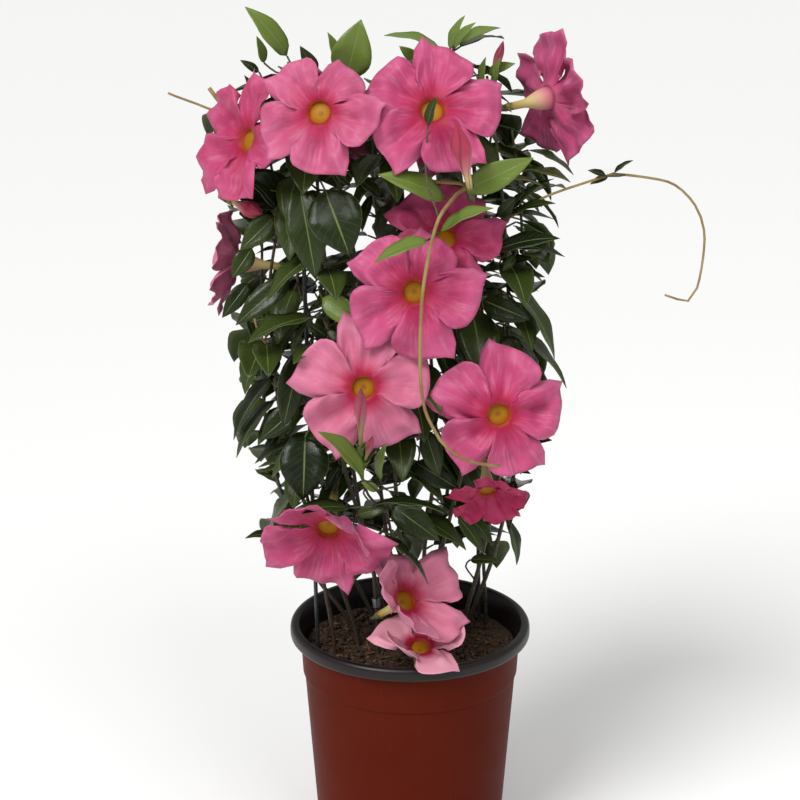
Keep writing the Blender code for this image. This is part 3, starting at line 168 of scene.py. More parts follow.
# Leaves: column and row of the tip, of the base, seen width in pixels, depth of the base and of the tip, mm
leaves = (
    (246, 6, 287, 56, 20, 0, -12), (300, 46, 316, 72, 14, -10, -25), (328, 32, 338, 64, 10, 5, 0),
    (361, 20, 346, 78, 40, -15, -30), (425, 60, 383, 92, 35, 15, 5), (399, 46, 420, 62, 12, 20, 15),
    (384, 35, 440, 48, 9, 0, -12), (464, 15, 450, 50, 8, 0, 0), (475, 22, 454, 48, 8, -5, -15),
    (500, 26, 457, 44, 9, 5, 10), (441, 50, 450, 62, 7, -5, -18), (472, 65, 447, 60, 12, -15, -30),
    (515, 63, 488, 73, 10, 5, -5), (485, 57, 482, 84, 7, 12, 8), (500, 57, 495, 84, 7, 0, -8),
    (455, 95, 478, 82, 14, -15, -25), (257, 36, 264, 63, 9, 0, -6), (240, 60, 259, 72, 8, 0, -6),
    (245, 75, 254, 96, 7, 0, -4), (257, 80, 257, 98, 7, -4, -8), (378, 174, 445, 199, 22, -90, -108),
    (533, 158, 467, 190, 28, -85, -105), (425, 157, 455, 172, 9, -70, -80),
    (328, 165, 350, 185, 10, -60, -70), (345, 170, 380, 198, 12, -50, -62),
    (350, 257, 325, 190, 55, -78, -100), (316, 280, 300, 190, 40, -62, -85),
    (240, 250, 275, 216, 25, -40, -55), (217, 180, 295, 195, 40, -15, -30),
    (244, 175, 275, 208, 10, -45, -55), (232, 278, 252, 248, 20, -35, -45),
    (222, 318, 248, 283, 18, -20, -30), (235, 325, 290, 280, 25, -55, -70),
    (272, 338, 262, 302, 12, -30, -38), (254, 347, 247, 312, 10, -10, -15),
    (250, 322, 290, 312, 18, -15, -25), (370, 328, 322, 298, 25, -72, -88),
    (318, 282, 342, 295, 10, -65, -72), (305, 322, 327, 337, 10, -80, -88),
    (342, 345, 328, 330, 8, -75, -82), (283, 428, 301, 350, 30, -65, -85),
    (262, 380, 280, 360, 10, -30, -40), (233, 440, 275, 375, 14, -30, -48),
    (235, 457, 275, 400, 12, -38, -55), (260, 440, 300, 405, 26, -50, -62),
    (265, 452, 278, 432, 10, -35, -42), (303, 500, 305, 437, 50, -82, -102),
    (325, 490, 340, 465, 14, -45, -55), (320, 430, 364, 480, 16, -118, -140),
    (361, 482, 378, 490, 9, -112, -118), (385, 443, 380, 480, 9, -118, -128),
    (285, 515, 350, 508, 14, -112, -132), (245, 537, 278, 535, 7, -50, -62),
    (390, 507, 357, 515, 13, -104, -112), (450, 512, 372, 505, 8, -112, -128),
    (370, 480, 418, 462, 26, -55, -65), (460, 490, 415, 462, 24, -60, -72),
    (440, 541, 392, 505, 30, -60, -75), (430, 583, 380, 535, 8, -96, -112),
    (483, 553, 458, 517, 14, -55, -65), (500, 561, 470, 560, 10, -20, -30),
    (518, 565, 507, 520, 10, -35, -45), (508, 530, 515, 480, 16, -45, -55),
    (552, 440, 525, 440, 10, -45, -55), (531, 473, 500, 465, 10, -85, -95),
    (557, 358, 508, 283, 12, -45, -65), (569, 386, 505, 326, 9, -35, -55),
    (541, 387, 520, 340, 6, -30, -40), (520, 368, 505, 336, 24, -40, -50),
    (530, 320, 483, 300, 28, -50, -65), (535, 291, 505, 285, 12, -30, -40),
    (560, 238, 497, 250, 16, -55, -70), (565, 255, 500, 247, 10, -38, -50),
    (533, 258, 503, 262, 10, -28, -35), (545, 276, 503, 275, 8, -18, -25),
    (502, 272, 515, 255, 9, -50, -56), (516, 198, 498, 216, 12, -35, -45),
    (527, 190, 507, 214, 6, -30, -40), (543, 183, 512, 210, 6, -30, -38),
    (553, 177, 517, 207, 5, -25, -30), (555, 202, 512, 214, 7, -30, -42),
    (362, 232, 372, 195, 10, -35, -42), (378, 245, 385, 205, 9, -25, -30),
    (383, 235, 395, 195, 9, -15, -20), (400, 220, 402, 185, 10, -10, -15),
    (390, 240, 440, 213, 12, -50, -60), (374, 262, 428, 240, 14, -130, -140),
    (492, 206, 440, 232, 10, -118, -135), (437, 96, 428, 126, 9, -110, -118),
    (402, 440, 435, 405, 30, -65, -80), (440, 478, 425, 430, 22, -70, -80),
    (588, 170, 606, 176, 6, -18, -22), (590, 184, 608, 176, 7, -20, -26),
    (633, 160, 614, 173, 4, -10, -10),
)

# leaves that the rule adds to each stem, most of them at the back, where the photograph shows none
fill = {
    "vine_front_left": 1, "vine_front": 1, "vine_front_right": 1, "vine_right": 1, "vine_left": 1,
    "vine_inner_left": 2, "vine_inner_right": 2, "vine_back_left": 11, "vine_back": 12,
    "vine_back_right": 11, "vine_far_left": 8, "vine_far_right": 8,
}

# petals folded back, or forward where below 0: petal number and the way of its tip as a radius share
foldedPetals = {
    "bloom_middle": {1: 0.34}, "bloom_behind_middle": {3: 0.30}, "bloom_top_right": {2: 0.25},
    "bloom_low": {1: 0.40, 2: -0.45, 3: -0.60}, "bloom_top": {1: 0.45}, "bloom_top_left": {0: 0.25},
    "bloom_low_left": {1: -0.60, 2: -0.25}, "bloom_fallen": {0: -0.30, 1: -0.30, 3: -0.70},
}

# tips of leaves that are young and light green
youngLeaves = ((378, 174), (533, 158), (320, 430), (374, 262), (370, 328), (492, 206), (361, 482),
               (385, 443), (246, 6), (361, 20), (425, 60), (257, 36), (472, 65), (485, 57), (500, 57),
               (515, 63), (441, 50))
youngTone = 0.85


def photoPoint(column, row, depth):
    across = (column - view["middle"]) / view["focalPixels"]
    rise = (view["middle"] - row) / view["focalPixels"]
    ray = Vector((across,
                  math.cos(view["pitch"]) + rise * math.sin(view["pitch"]),
                  rise * math.cos(view["pitch"]) - math.sin(view["pitch"])))
    return view["place"] + ray * ((depth - view["place"].y) / ray.y)


def photoPlace(point):
    seen = point - view["place"]
    ahead = seen.y * math.cos(view["pitch"]) - seen.z * math.sin(view["pitch"])
    rise = seen.y * math.sin(view["pitch"]) + seen.z * math.cos(view["pitch"])
    return (view["middle"] + view["focalPixels"] * seen.x / ahead,
            view["middle"] - view["focalPixels"] * rise / ahead)


def smoothPath(points, step):
    # a curve through the points, sampled about every step
    path = [points[0]]
    for index in range(len(points) - 1):
        start, end = points[index], points[index + 1]
        before = points[index - 1] if index > 0 else start * 2 - end
        after = points[index + 2] if index + 2 < len(points) else end * 2 - start
        count = max(1, round((end - start).length / step))
        for part in range(1, count + 1):
            t = part / count
            path.append(0.5 * (2 * start + (end - before) * t
                               + (2 * before - 5 * start + 4 * end - after) * t ** 2
                               + (3 * start - before - 3 * end + after) * t ** 3))
    return path


def anySide(direction):
    helper = Vector((0, 0, 1)) if abs(direction.z) < 0.9 else Vector((1, 0, 0))
    return direction.cross(helper).normalized()


def tube(path, radii, sides):
    # a closed tube along the path, as a list of points and a list of faces
    points = []
    faces = []
    side = None
    for index, centre in enumerate(path):
        before = path[max(index - 1, 0)]
        after = path[min(index + 1, len(path) - 1)]
        along = (after - before).normalized()
        if side is None:
            side = anySide(along)
        side = (side - along * side.dot(along)).normalized()
        other = along.cross(side)
        for corner in range(sides):
            turn = math.tau * corner / sides
            points.append(centre + (side * math.cos(turn) + other * math.sin(turn)) * radii[index])
    for ring in range(len(path) - 1):
        low = ring * sides
        for corner in range(sides):
            following = (corner + 1) % sides
            faces.append((low + corner, low + following, low + sides + following, low + sides + corner))
    faces.append(tuple(reversed(range(sides))))
    faces.append(tuple(range((len(path) - 1) * sides, len(path) * sides)))
    return points, faces


def sheetSolid(points, triangles, thickness, spare=0.0):
    # thickens an open sheet: the lower face is the upper one moved back along each point's normal
    normals = [Vector((0, 0, 0)) for _ in points]
    edges = {}
    for triangle in triangles:
        a, b, c = (points[index] for index in triangle)
        normal = (b - a).cross(c - a)
        for index in triangle:
            normals[index] += normal
        for first, second in ((0, 1), (1, 2), (2, 0)):
            edges[(triangle[first], triangle[second])] = True
    upper = [point + normal.normalized() * spare for point, normal in zip(points, normals)]
    lower = [point - normal.normalized() * (thickness + spare) for point, normal in zip(points, normals)]
    count = len(points)
    faces = list(triangles)
    faces += [(a + count, c + count, b + count) for a, b, c in triangles]
    for first, second in edges:
        if (second, first) not in edges:
            faces.append((second, first, first + count))
            faces.append((second, first + count, second + count))
    return upper + lower, faces


leafForm = {
    "roughThickness": 0.0008, "thickness": 0.00045, "ratio": 0.46, "fold": 0.22, "arch": 0.07, "wave": 0.10,
    "large": (0.14, 0.42, 0.76), "small": (0.22, 0.62),
    "droop": 0.05, "twist": 0.14, "longLeaf": 0.07,
}


def leafShare(along):
    # half width of a leaf along its length, as a share of the greatest
    return math.sin(math.pi * along ** 0.75) ** 0.8


def leafSheet(base, tip, normal, width, arch, wave, stations):
    # the blade's upper face, as rows of three points from edge to midrib to edge, then the tip
    axis = tip - base
    length = axis.length
    axis = axis.normalized()
    normal = (normal - axis * normal.dot(axis)).normalized()
    side = axis.cross(normal)
    rows = []
    for number, along in enumerate(stations):
        half = width / 2 * leafShare(along)
        middle = base + axis * length * along + normal * (arch * length * 4 * along * (1 - along))
        ripple = wave * half * (1 if number % 2 else -1)
        rows.append((middle + side * half + normal * (leafForm["fold"] * half + ripple), middle,
                     middle - side * half + normal * (leafForm["fold"] * half - ripple)))
    return rows, side, normal


def leafSolid(path, tip, leaf, thickness, spare=0.0):
    # a three-sided petiole along the path that opens into the blade, as one closed solid
    rows, side, normal = leafSheet(path[-1], tip, *leaf)
    radius = stem["petiole"] + spare
    rings = []
    across = side
    ways = [(after - before).normalized() for before, after in zip(path, path[1:])]
    ways.append((tip - path[-1]).normalized())
    for index in range(len(path) - 1, -1, -1):
        along = (ways[index] + ways[max(index - 1, 0)]).normalized()
        across = (across - along * across.dot(along)).normalized()
        upward = across.cross(along)
        centre = path[index]
        rings.insert(0, [centre + across * radius * 0.87 + upward * radius * 0.5,
                         centre - across * radius * 0.87 + upward * radius * 0.5,
                         centre - upward * radius])
    points = [point for ring in rings for point in ring]
    faces = [(0, 2, 1)]
    for ring in range(len(rings) - 1):
        low = 3 * ring
        for corner in range(3):
            after = (corner + 1) % 3
            faces.append((low + corner, low + after, low + 3 + after, low + 3 + corner))
    foot = 3 * (len(rings) - 1)
    first = len(points)
    for row in rows:
        points += [point + normal * spare for point in row]
        points += [point - normal * (thickness + spare) for point in reversed(row)]
    for corner in range(3):
        start, after = foot + corner, foot + (corner + 1) % 3
        near, middle, far = (first + (2 * corner + step) % 6 for step in range(3))
        faces += [(start, near, middle), (start, middle, after), (after, middle, far)]
    for number in range(len(rows) - 1):
        low = first + 6 * number
        for corner in range(6):
            near, nearAfter = low + corner, low + (corner + 1) % 6
            far, farAfter = near + 6, nearAfter + 6
            if corner < 3:
                faces += [(near, nearAfter, far), (nearAfter, farAfter, far)]
            else:
                faces += [(near, nearAfter, farAfter), (near, farAfter, far)]
    last = first + 6 * (len(rows) - 1)
    points.append(tip)
    for corner in range(6):
        faces.append((last + corner, last + (corner + 1) % 6, len(points) - 1))
    return points, faces


# outline: share across the petal, degrees from its tip, share of the bloom's radius
bloomForm = {
    "radius": 0.066, "tubeLength": 0.052, "tubeRadius": 0.0030, "mouth": 0.0105, "fullMouth": 0.055,
    "roughThickness": 0.0010, "thickness": 0.0005, "petals": 5, "calyxRadius": 0.0034, "calyxLength": 0.009,
    "outline": ((0.0, -54, 0.66), (0.1, -51, 0.79), (0.22, -43, 0.875), (0.38, -29, 0.92), (0.55, -16, 0.94),
                (0.70, -7, 0.965), (0.80, 0, 1.07), (0.90, 12, 0.76), (1.0, 20, 0.50)),
    "sway": 0.06, "columns": 14, "rows": 14, "tubeRows": 12,
}

# one petal of the solid model as degrees from its tip and share of the bloom's radius, from notch to notch
notchForm = (-49, 0.42)
petalEdge = ((-50, 0.74), (-36, 0.90), (-16, 0.94), (0, 1.07), (14, 0.68))
petalMiddle = ((-29, 0.50), (-2, 0.50))


def facing(azimuth, elevation):
    azimuth = math.radians(azimuth)
    elevation = math.radians(elevation)
    return Vector((math.sin(azimuth) * math.cos(elevation),
                   -math.cos(azimuth) * math.cos(elevation),
                   math.sin(elevation)))


def bloomFrame(throat, ahead):
    across = Vector((0, 0, 1)).cross(ahead).normalized()
    above = ahead.cross(across)
    turned = Matrix((across, above, ahead)).transposed().to_4x4()
    return Matrix.Translation(throat) @ turned


def limbHeight(radius, share, spread):
    # height of the petals over the mouth: a cone that curls back towards the tips
    slope = 1 / math.tan(math.radians(spread))
    return (share * radius - bloomForm["mouth"]) * slope - 0.10 * radius * share ** 3


def bloomSheet(name, radius, firstTip, spread, tubeLength):
    # one sheet for tube, bell and five petals, seen from the front with its axis along +Z
    draw = random.Random(name)
    mouth = bloomForm["mouth"] * min(1.0, radius / bloomForm["fullMouth"])
    points = []

    def ring(count, offset, ringRadius, height):
        numbers = []
        for number in range(count):
            turn = math.radians(firstTip + offset + 360 * number / count)
            numbers.append(len(points))
            points.append(Vector((ringRadius * math.cos(turn), ringRadius * math.sin(turn), height)))
        return numbers

    base = ring(bloomForm["petals"], notchForm[0], bloomForm["tubeRadius"], -tubeLength)
    neck = ring(bloomForm["petals"], notchForm[0], bloomForm["tubeRadius"] * 1.2, -tubeLength * 0.55)
    lip = ring(bloomForm["petals"], notchForm[0], mouth, 0)
    notches = ring(bloomForm["petals"], notchForm[0], radius * notchForm[1],
                   limbHeight(radius, notchForm[1], spread))
    triangles = []
    for number in range(bloomForm["petals"]):
        after = (number + 1) % bloomForm["petals"]
        triangles += [(base[number], neck[number], neck[after]), (base[number], neck[after], base[after]),
                      (neck[number], lip[number], lip[after]), (neck[number], lip[after], neck[after])]
        first, last = lip[number], lip[after]
        fold = foldedPetals.get(name, {}).get(number, 0)
        grown = radius * draw.uniform(0.95, 1.04)
        sway = draw.uniform(-bloomForm["sway"], bloomForm["sway"])
        start = len(points)
        for angle, share in petalMiddle + petalEdge:
            turn = math.radians(firstTip + 72 * number + angle)
            reach = grown * share * (1 - 0.3 * abs(fold) * share)
            height = limbHeight(radius, share, spread) + sway * radius * share ** 2
            height -= fold * radius * (share - notchForm[1]) * 1.6
            height -= 0.05 * radius * math.sin(math.radians(angle * 3)) * share
            points.append(Vector((reach * math.cos(turn), reach * math.sin(turn), height)))
        inner, outer, heel, lobe, shoulder, point, flank = range(start, start + 7)
        notch, nextNotch = notches[number], notches[after]
        triangles += [(first, notch, inner), (first, inner, outer), (first, outer, last),
                      (last, outer, nextNotch),
                      (notch, heel, inner), (heel, lobe, inner), (lobe, shoulder, inner),
                      (inner, shoulder, outer), (shoulder, point, outer), (point, flank, outer),
                      (flank, nextNotch, outer)]
    return points, triangles


def budSolid(tip, base, radius):
    # a spindle that narrows to its base and twists to a point
    axis = tip - base
    profile = ((0.0, 0.34), (0.30, 0.42), (0.55, 0.95), (0.70, 1.0), (0.88, 0.62), (1.0, 0.08))
    path = [base + axis * along for along, _ in profile]
    return tube(path, [radius * share for _, share in profile], 6)


def boxOf(points):
    return [[pick(point[axis] for point in points) for axis in range(3)] for pick in (min, max)]


class Plant:
    # every rough piece with its owner and a search tree, and what the finer meshes are grown from

    def __init__(self):
        self.obstacles = []
        self.joints = []
        self.paths = {}
        self.parts = []

    def keep(self, kind, owner, **facts):
        self.parts.append((kind, owner, facts))

    def clear(self, points, faces, ignore):
        tree = BVHTree.FromPolygons(points, faces)
        low, high = boxOf(points)
        for owner, kind, other, otherLow, otherHigh in self.obstacles:
            if ignore in (owner, (owner, kind)):
                continue
            if any(low[axis] > otherHigh[axis] or high[axis] < otherLow[axis] for axis in range(3)):
                continue
            if tree.overlap(other):
                return False
        return True

    def add(self, owner, kind, points, faces):
        self.obstacles.append((owner, kind, BVHTree.FromPolygons(points, faces), *boxOf(points)))

    def addJoints(self, owner, path):
        # places along a stem where a petiole or a shoot may start
        for start, end in zip(path, path[1:]):
            count = max(1, round((end - start).length / stem["jointStep"]))
            for part in range(count):
                place = start.lerp(end, part / count)
                if place.z > soil["top"] + stem["lowJoint"]:
                    self.joints.append((owner, place, (end - start).normalized()))

    def nearestJoints(self, target, limit):
        near = [joint for joint in self.joints if (joint[1] - target).length < limit]
        return sorted(near, key=lambda joint: (joint[1] - target).length)


def taper(path, first, last):
    count = len(path) - 1
    return [first + (last - first) * number / count for number in range(count + 1)]


def bendsGently(path, arrival, stemWay):
    # a stalk leaves its stem at an angle and has no sharp turn
    ways = [(after - before).normalized() for before, after in zip(path, path[1:])] + [arrival]
    return abs(ways[0].dot(stemWay)) < 0.88 and all(a.dot(b) > 0.2 for a, b in zip(ways, ways[1:]))


def stalkClear(plant, path, owner):
    # past its root a stalk crosses nothing, and its root crosses nothing but its own node
    spare = stem["petiole"] + clearance
    if not plant.clear(*tube(path, [spare] * len(path), 6), owner):
        return False
    reach = (path[1] - path[0]).length
    if reach < stem["root"] + 0.002:
        return len(path) == 2
    free = [path[0].lerp(path[1], stem["root"] / reach)] + path[1:]
    return plant.clear(*tube(free, [spare] * len(free), 6), None)


def placeStem(plant, name, makePath, first, last, draw):
    for attempt in range(40):
        reach = 0.0012 * attempt
        shift = Vector([draw.uniform(-reach, reach) for _ in range(3)])
        path = makePath(shift)
        radii = taper(path, first, last)
        if plant.clear(*tube(path, [radius + clearance for radius in radii], stem["roughSides"]), name):
            break
    else:
        print("stem that could not be cleared:", name)
        return
    plant.add(name, "stem", *tube(path, radii, stem["roughSides"]))
    plant.addJoints(name, path)
    plant.paths[name] = path
    plant.keep("stem", name, path=path, radii=(first, last))


def stemFoot(footX, footY):
    return [Vector((footX, footY, stem["foot"])), Vector((footX, footY, soil["top"] + stem["ground"]))]


def growVines(plant, draw):
    for stems, thickness in ((vines, 1.0), (sprigs, 0.55)):
        for name, (foot, rise) in stems.items():
            def vinePath(shift):
                buried, ground = stemFoot(*foot)
                marks = [photoPoint(*place) + shift for place in rise]
                return [buried] + smoothPath([ground] + marks, stem["roughStep"])
            placeStem(plant, name, vinePath, stem["footRadius"] * thickness, stem["tipRadius"], draw)


def legPlace(leg, height):
    lean = hoop["lean"] * max(0, height - soil["top"]) / (hoop["shoulder"] - soil["top"])
    return Vector((leg.x + lean, leg.y, height))


def growTwiners(plant, draw):
    for name, ((footX, footY), leg, low, high, turns, free) in twiners.items():
        def twinedPath(shift):
            buried, ground = stemFoot(footX, footY)
            toward = math.atan2(footY - leg.y, footX - leg.x)
            winding = []
            count = round(turns * stem["twineCorners"])
            for number in range(count + 1):
                turn = toward + math.tau * number / stem["twineCorners"]
                centre = legPlace(leg, low + (high - low) * number / count)
                winding.append(centre + Vector((math.cos(turn), math.sin(turn), 0)) * stem["twine"])
            marks = [photoPoint(*place) + shift for place in free]
            approach = smoothPath([ground, winding[0]], stem["roughStep"])
            end = smoothPath([winding[-1]] + marks, stem["roughStep"])
            return [buried] + approach + winding[1:] + end[1:]
        placeStem(plant, name, twinedPath, stem["footRadius"] * 0.8, stem["tipRadius"], draw)


def placeShoot(plant, name, radius, places, shift):
    marks = [photoPoint(*place) + shift for place in places]
    for owner, start, _ in plant.nearestJoints(marks[0], 0.10)[:12]:
        path = smoothPath([start] + marks, stem["roughStep"] * 0.8)
        if plant.clear(*tube(path, [radius + clearance] * len(path), 4), owner):
            plant.add(owner, "stem", *tube(path, taper(path, radius * 1.2, radius), 4))
            plant.addJoints(owner, path[1:])
            plant.keep("shoot", owner, path=path, radii=(radius * 1.2, radius), name=name)
            return True
    return False


def growShoots(plant, draw):
    for name, (radius, places) in shoots.items():
        shifts = (Vector((0, draw.uniform(-1, 1) * 0.0015 * attempt, 0)) for attempt in range(12))
        if not any(placeShoot(plant, name, radius, places, shift) for shift in shifts):
            print("shoot that could not be placed:", name)


def stalkPath(start, end, arrival):
    # from a stem to a leaf or a bloom, leaving upwards and arriving along the given direction
    reach = (end - start).length
    if reach < stem["shortStalk"]:
        return [start, end]
    bend = end - arrival * reach * 0.4
    return [start, start.lerp(bend, 0.6) + Vector((0, 0, 0.06 * reach)), end]


def joinBloom(plant, name, base, ahead):
    # the stalk ends in a calyx, whose flat end faces the foot of the tube
    seat = base - ahead * gap
    neck = seat - ahead * bloomForm["calyxLength"]
    cup = tube([neck, seat - ahead * gap], [stem["stalk"] + gap, bloomForm["calyxRadius"] + gap], 4)
    for owner, start, way in plant.nearestJoints(seat - ahead * 0.02, 0.16)[:60]:
        path = stalkPath(start, neck, ahead) + [seat]
        if not bendsGently(path, ahead, way):
            continue
        radii = [stem["stalk"]] * (len(path) - 1) + [bloomForm["calyxRadius"]]
        if stalkClear(plant, path[:-1], owner) and plant.clear(*cup, None):
            plant.add(owner, "stalk", *tube(path, radii, 4))
            plant.keep("stalk", owner, path=path)
            return True
    return False


def placeBlooms(plant):
    moves = [(step, tilt, aside) for aside in (0, 8, -8) for tilt in (0, -10, 10)
             for step in (0, -0.006, 0.006, -0.012, 0.012, -0.018, -0.024, -0.030, 0.018)]
    for name, (column, row, depth, azimuth, elevation, firstTip, size, spread) in blooms.items():
        radius = bloomForm["radius"] * size
        length = bloomForm["tubeLength"] * (0.7 + 0.3 * size)
        points, triangles = bloomSheet(name, radius, firstTip, spread, length)
        away = -1 if depth > 0.1 else 1
        for step, tilt, aside in moves:
            ahead = facing(azimuth, elevation + tilt)
            throat = photoPoint(column + aside, row, depth + away * step)
            place = bloomFrame(throat, ahead)
            world = [place @ point for point in points]
            if not plant.clear(*sheetSolid(world, triangles, bloomForm["roughThickness"], clearance), None):
                continue
            plant.add(name, "bloom", *sheetSolid(world, triangles, bloomForm["roughThickness"]))
            if joinBloom(plant, name, throat - ahead * length, ahead):
                plant.keep("bloom", name, place=place, radius=radius, firstTip=firstTip, spread=spread,
                           length=length)
                break
            plant.obstacles.pop()
        else:
            print("bloom that could not be placed:", name)


def placeFallenBloom(plant):
    # lowered until it lies on the soil or on the rim
    column, row, depth, azimuth, elevation, firstTip, size, spread = fallenBloom
    radius = bloomForm["radius"] * size
    points, triangles = bloomSheet("bloom_fallen", radius, firstTip, spread, fallenTube)
    place = bloomFrame(photoPoint(column, row, depth), facing(azimuth, elevation))
    points, faces = sheetSolid([place @ point for point in points], triangles, bloomForm["roughThickness"])
    ground = [tree for owner, _, tree, _, _ in plant.obstacles if owner in ("soil", "pot")]
    down = Vector((0, 0, -1))
    falls = [tree.ray_cast(point, down)[3] for point in points for tree in ground]
    drop = Vector((0, 0, min(fall for fall in falls if fall is not None) - gap))
    plant.add("bloom_fallen", "bloom", [point - drop for point in points], faces)
    plant.keep("bloom", "bloom_fallen", place=Matrix.Translation(-drop) @ place, radius=radius,
               firstTip=firstTip, spread=spread, length=fallenTube)


def placeBuds(plant):
    for name, (tipPlace, basePlace, radius) in buds.items():
        for step in (0, -0.006, 0.006, -0.012, 0.012, -0.018, 0.018, -0.024):
            tip, base = (photoPoint(*place) + Vector((0, step, 0)) for place in (tipPlace, basePlace))
            if not plant.clear(*budSolid(tip, base, radius + clearance), None):
                continue
            plant.add(name, "bud", *budSolid(tip, base, radius))
            if joinBloom(plant, name, base, (tip - base).normalized()):
                plant.keep("bud", name, tip=tip, base=base, radius=radius)
                break
            plant.obstacles.pop()
        else:
            print("bud that could not be placed:", name)


def setLeaf(plant, base, tip, leaf, prefer=None, tone=0.2):
    axis = (tip - base).normalized()
    joints = plant.nearestJoints(base - axis * 0.006, 0.085)
    if prefer:
        joints = [joint for joint in joints if joint[0] == prefer]
    fatBlade = leafSolid([base], tip, leaf, leafForm["roughThickness"], clearance)
    clearOf = {}
    for owner, start, way in joints[:30]:
        if owner not in clearOf:
            clearOf[owner] = plant.clear(*fatBlade, (owner, "stem"))
        if not clearOf[owner]:
            continue
        path = stalkPath(start, base, axis)
        if bendsGently(path, axis, way) and stalkClear(plant, path, owner):
            plant.add(owner, "blade", *leafSolid(path, tip, leaf, leafForm["roughThickness"]))
            plant.keep("leaf", owner, path=path, tip=tip, leaf=leaf, tone=tone)
            return True
    return False


def placeLeaves(plant, draw):
    placed = 0
    for tipColumn, tipRow, column, row, seen, depth, tipDepth in leaves:
        for attempt in range(26):
            step = 0.003 * ((attempt + 1) // 2) * (1 if attempt % 2 else -1)
            lean = draw.uniform(-0.010, 0.010) if attempt > 8 else 0
            base = photoPoint(column, row, depth / 1000 + step)
            tip = photoPoint(tipColumn, tipRow, tipDepth / 1000 + step + lean)
            axis = (tip - base).normalized()
            sight = (view["place"] - base).normalized()
            flat = (sight - axis * sight.dot(axis)).normalized()
            length = (tip - base).length
            wide = seen * (base - view["place"]).length / view["focalPixels"]
            width = max(wide, leafForm["ratio"] * length * 0.8)
            roll = math.acos(min(1, wide / width))
            turns = [Matrix.Rotation(angle, 3, axis) @ flat for angle in (roll, -roll)]
            normal = max(turns, key=lambda turn: turn.z)
            stations = leafForm["large"] if seen > 24 else leafForm["small"]
            tone = youngTone if (tipColumn, tipRow) in youngLeaves or (row < 66 and seen < 14) else None
            form = (normal, width, leafForm["arch"], leafForm["wave"], stations)
            if setLeaf(plant, base, tip, form, tone=tone):
                placed += 1
                break
    print("leaves from the photograph:", placed)


def insideSilhouette(point):
    column, row = photoPlace(point)
    for low, high in zip(silhouette, silhouette[1:]):
        if low[0] <= row <= high[0]:
            share = (row - low[0]) / (high[0] - low[0])
            left = low[1] + (high[1] - low[1]) * share
            right = low[2] + (high[2] - low[2]) * share
            return left < column < right
    return False


def hidesBloom(point, throats):
    # true where a leaf would stand before a bloom of the photo
    column, row = photoPlace(point)
    return any(math.hypot(column - across, row - down) < reach and point.y < far
               for across, down, reach, far in throats)


# how leaves are drawn: heights of their joints, way and slope, petiole, length and width, limits of the tip
fillRule = {
    "low": 0.30, "high": 1, "tries": 14, "turn": 1.3, "pitch": (-0.75, 0.25), "petiole": (0.010, 0.022),
    "lift": 0.006, "lengths": (0.060, 0.088), "widths": (0.85, 1.15), "tilt": 0.5, "depth": 0.175,
    "lowTip": 0.252,
}
innerRule = {
    "high": 0.84, "tries": 9, "petiole": (0.008, 0.016), "lift": 0.004, "widths": (0.9, 1.25), "tilt": 0.9,
    "depth": 0.165,
}

# small leaves inside the bush that only the dressed part has
innerRules = (
    {**innerRule, "low": 0.31, "count": 230, "lengths": (0.050, 0.084), "turn": 1.25, "pitch": (-1.05, 0.10),
     "lowTip": 0.315,
     "owners": ("vine_front_left", "vine_front", "vine_front_right", "vine_right", "vine_left",
                "twiner_left", "twiner_right", "vine_inner_left", "vine_inner_right")},
    {**innerRule, "low": 0.30, "count": 170, "lengths": (0.045, 0.078), "turn": 1.6, "pitch": (-0.95, 0.15),
     "lowTip": 0.275,
     "owners": ("vine_back_left", "vine_back", "vine_back_right", "vine_far_left", "vine_far_right")},
)


def ruleLeaves(plant, draw, rule, throats=()):
    joints = [joint for joint in plant.joints
              if joint[0] in rule["owners"] and rule["low"] < joint[1].z < rule["high"]]
    placed = 0
    for attempt in range(rule["count"] * rule["tries"]):
        if placed == rule["count"]:
            break
        owner, start, _ = joints[int(draw.random() * len(joints))]
        outward = Vector((start.x + 0.01, start.y - 0.01, 0)).normalized()
        heading = Matrix.Rotation(draw.uniform(-rule["turn"], rule["turn"]), 3, "Z") @ outward
        pitch = draw.uniform(*rule["pitch"])
        axis = (heading * math.cos(pitch) + Vector((0, 0, math.sin(pitch)))).normalized()
        base = start + heading * draw.uniform(*rule["petiole"]) + Vector((0, 0, rule["lift"]))
        length = draw.uniform(*rule["lengths"])
        tip = base + axis * length
        if not insideSilhouette(tip) or abs(tip.y) > rule["depth"] or tip.z < rule["lowTip"]:
            continue
        if any(hidesBloom(base.lerp(tip, share), throats) for share in (0.1, 0.55, 1)):
            continue
        normal = Vector((0, 0, 1)) + heading * rule["tilt"]
        width = leafForm["ratio"] * length * draw.uniform(*rule["widths"])
        form = (normal, width, leafForm["arch"], leafForm["wave"], leafForm["small"])
        placed += setLeaf(plant, base, tip, form, owner)
    return placed


def fillLeaves(plant, draw):
    rules = [{**fillRule, "owners": (owner,), "count": count} for owner, count in fill.items()]
    print("leaves by rule:", sum(ruleLeaves(plant, draw, rule) for rule in rules))


def growInnerLeaves(plant):
    throats = []
    for kind, name, facts in plant.parts:
        if kind == "bloom" and "back" not in name:
            throat = facts["place"].translation
            reach = facts["radius"] * view["focalPixels"] / (throat - view["place"]).length
            throats.append((*photoPlace(throat), reach * 0.85, throat.y + 0.03))
    counts = [ruleLeaves(plant, random.Random(seed + 1 + number), rule, throats)
              for number, rule in enumerate(innerRules)]
    print("inner leaves:", sum(counts))


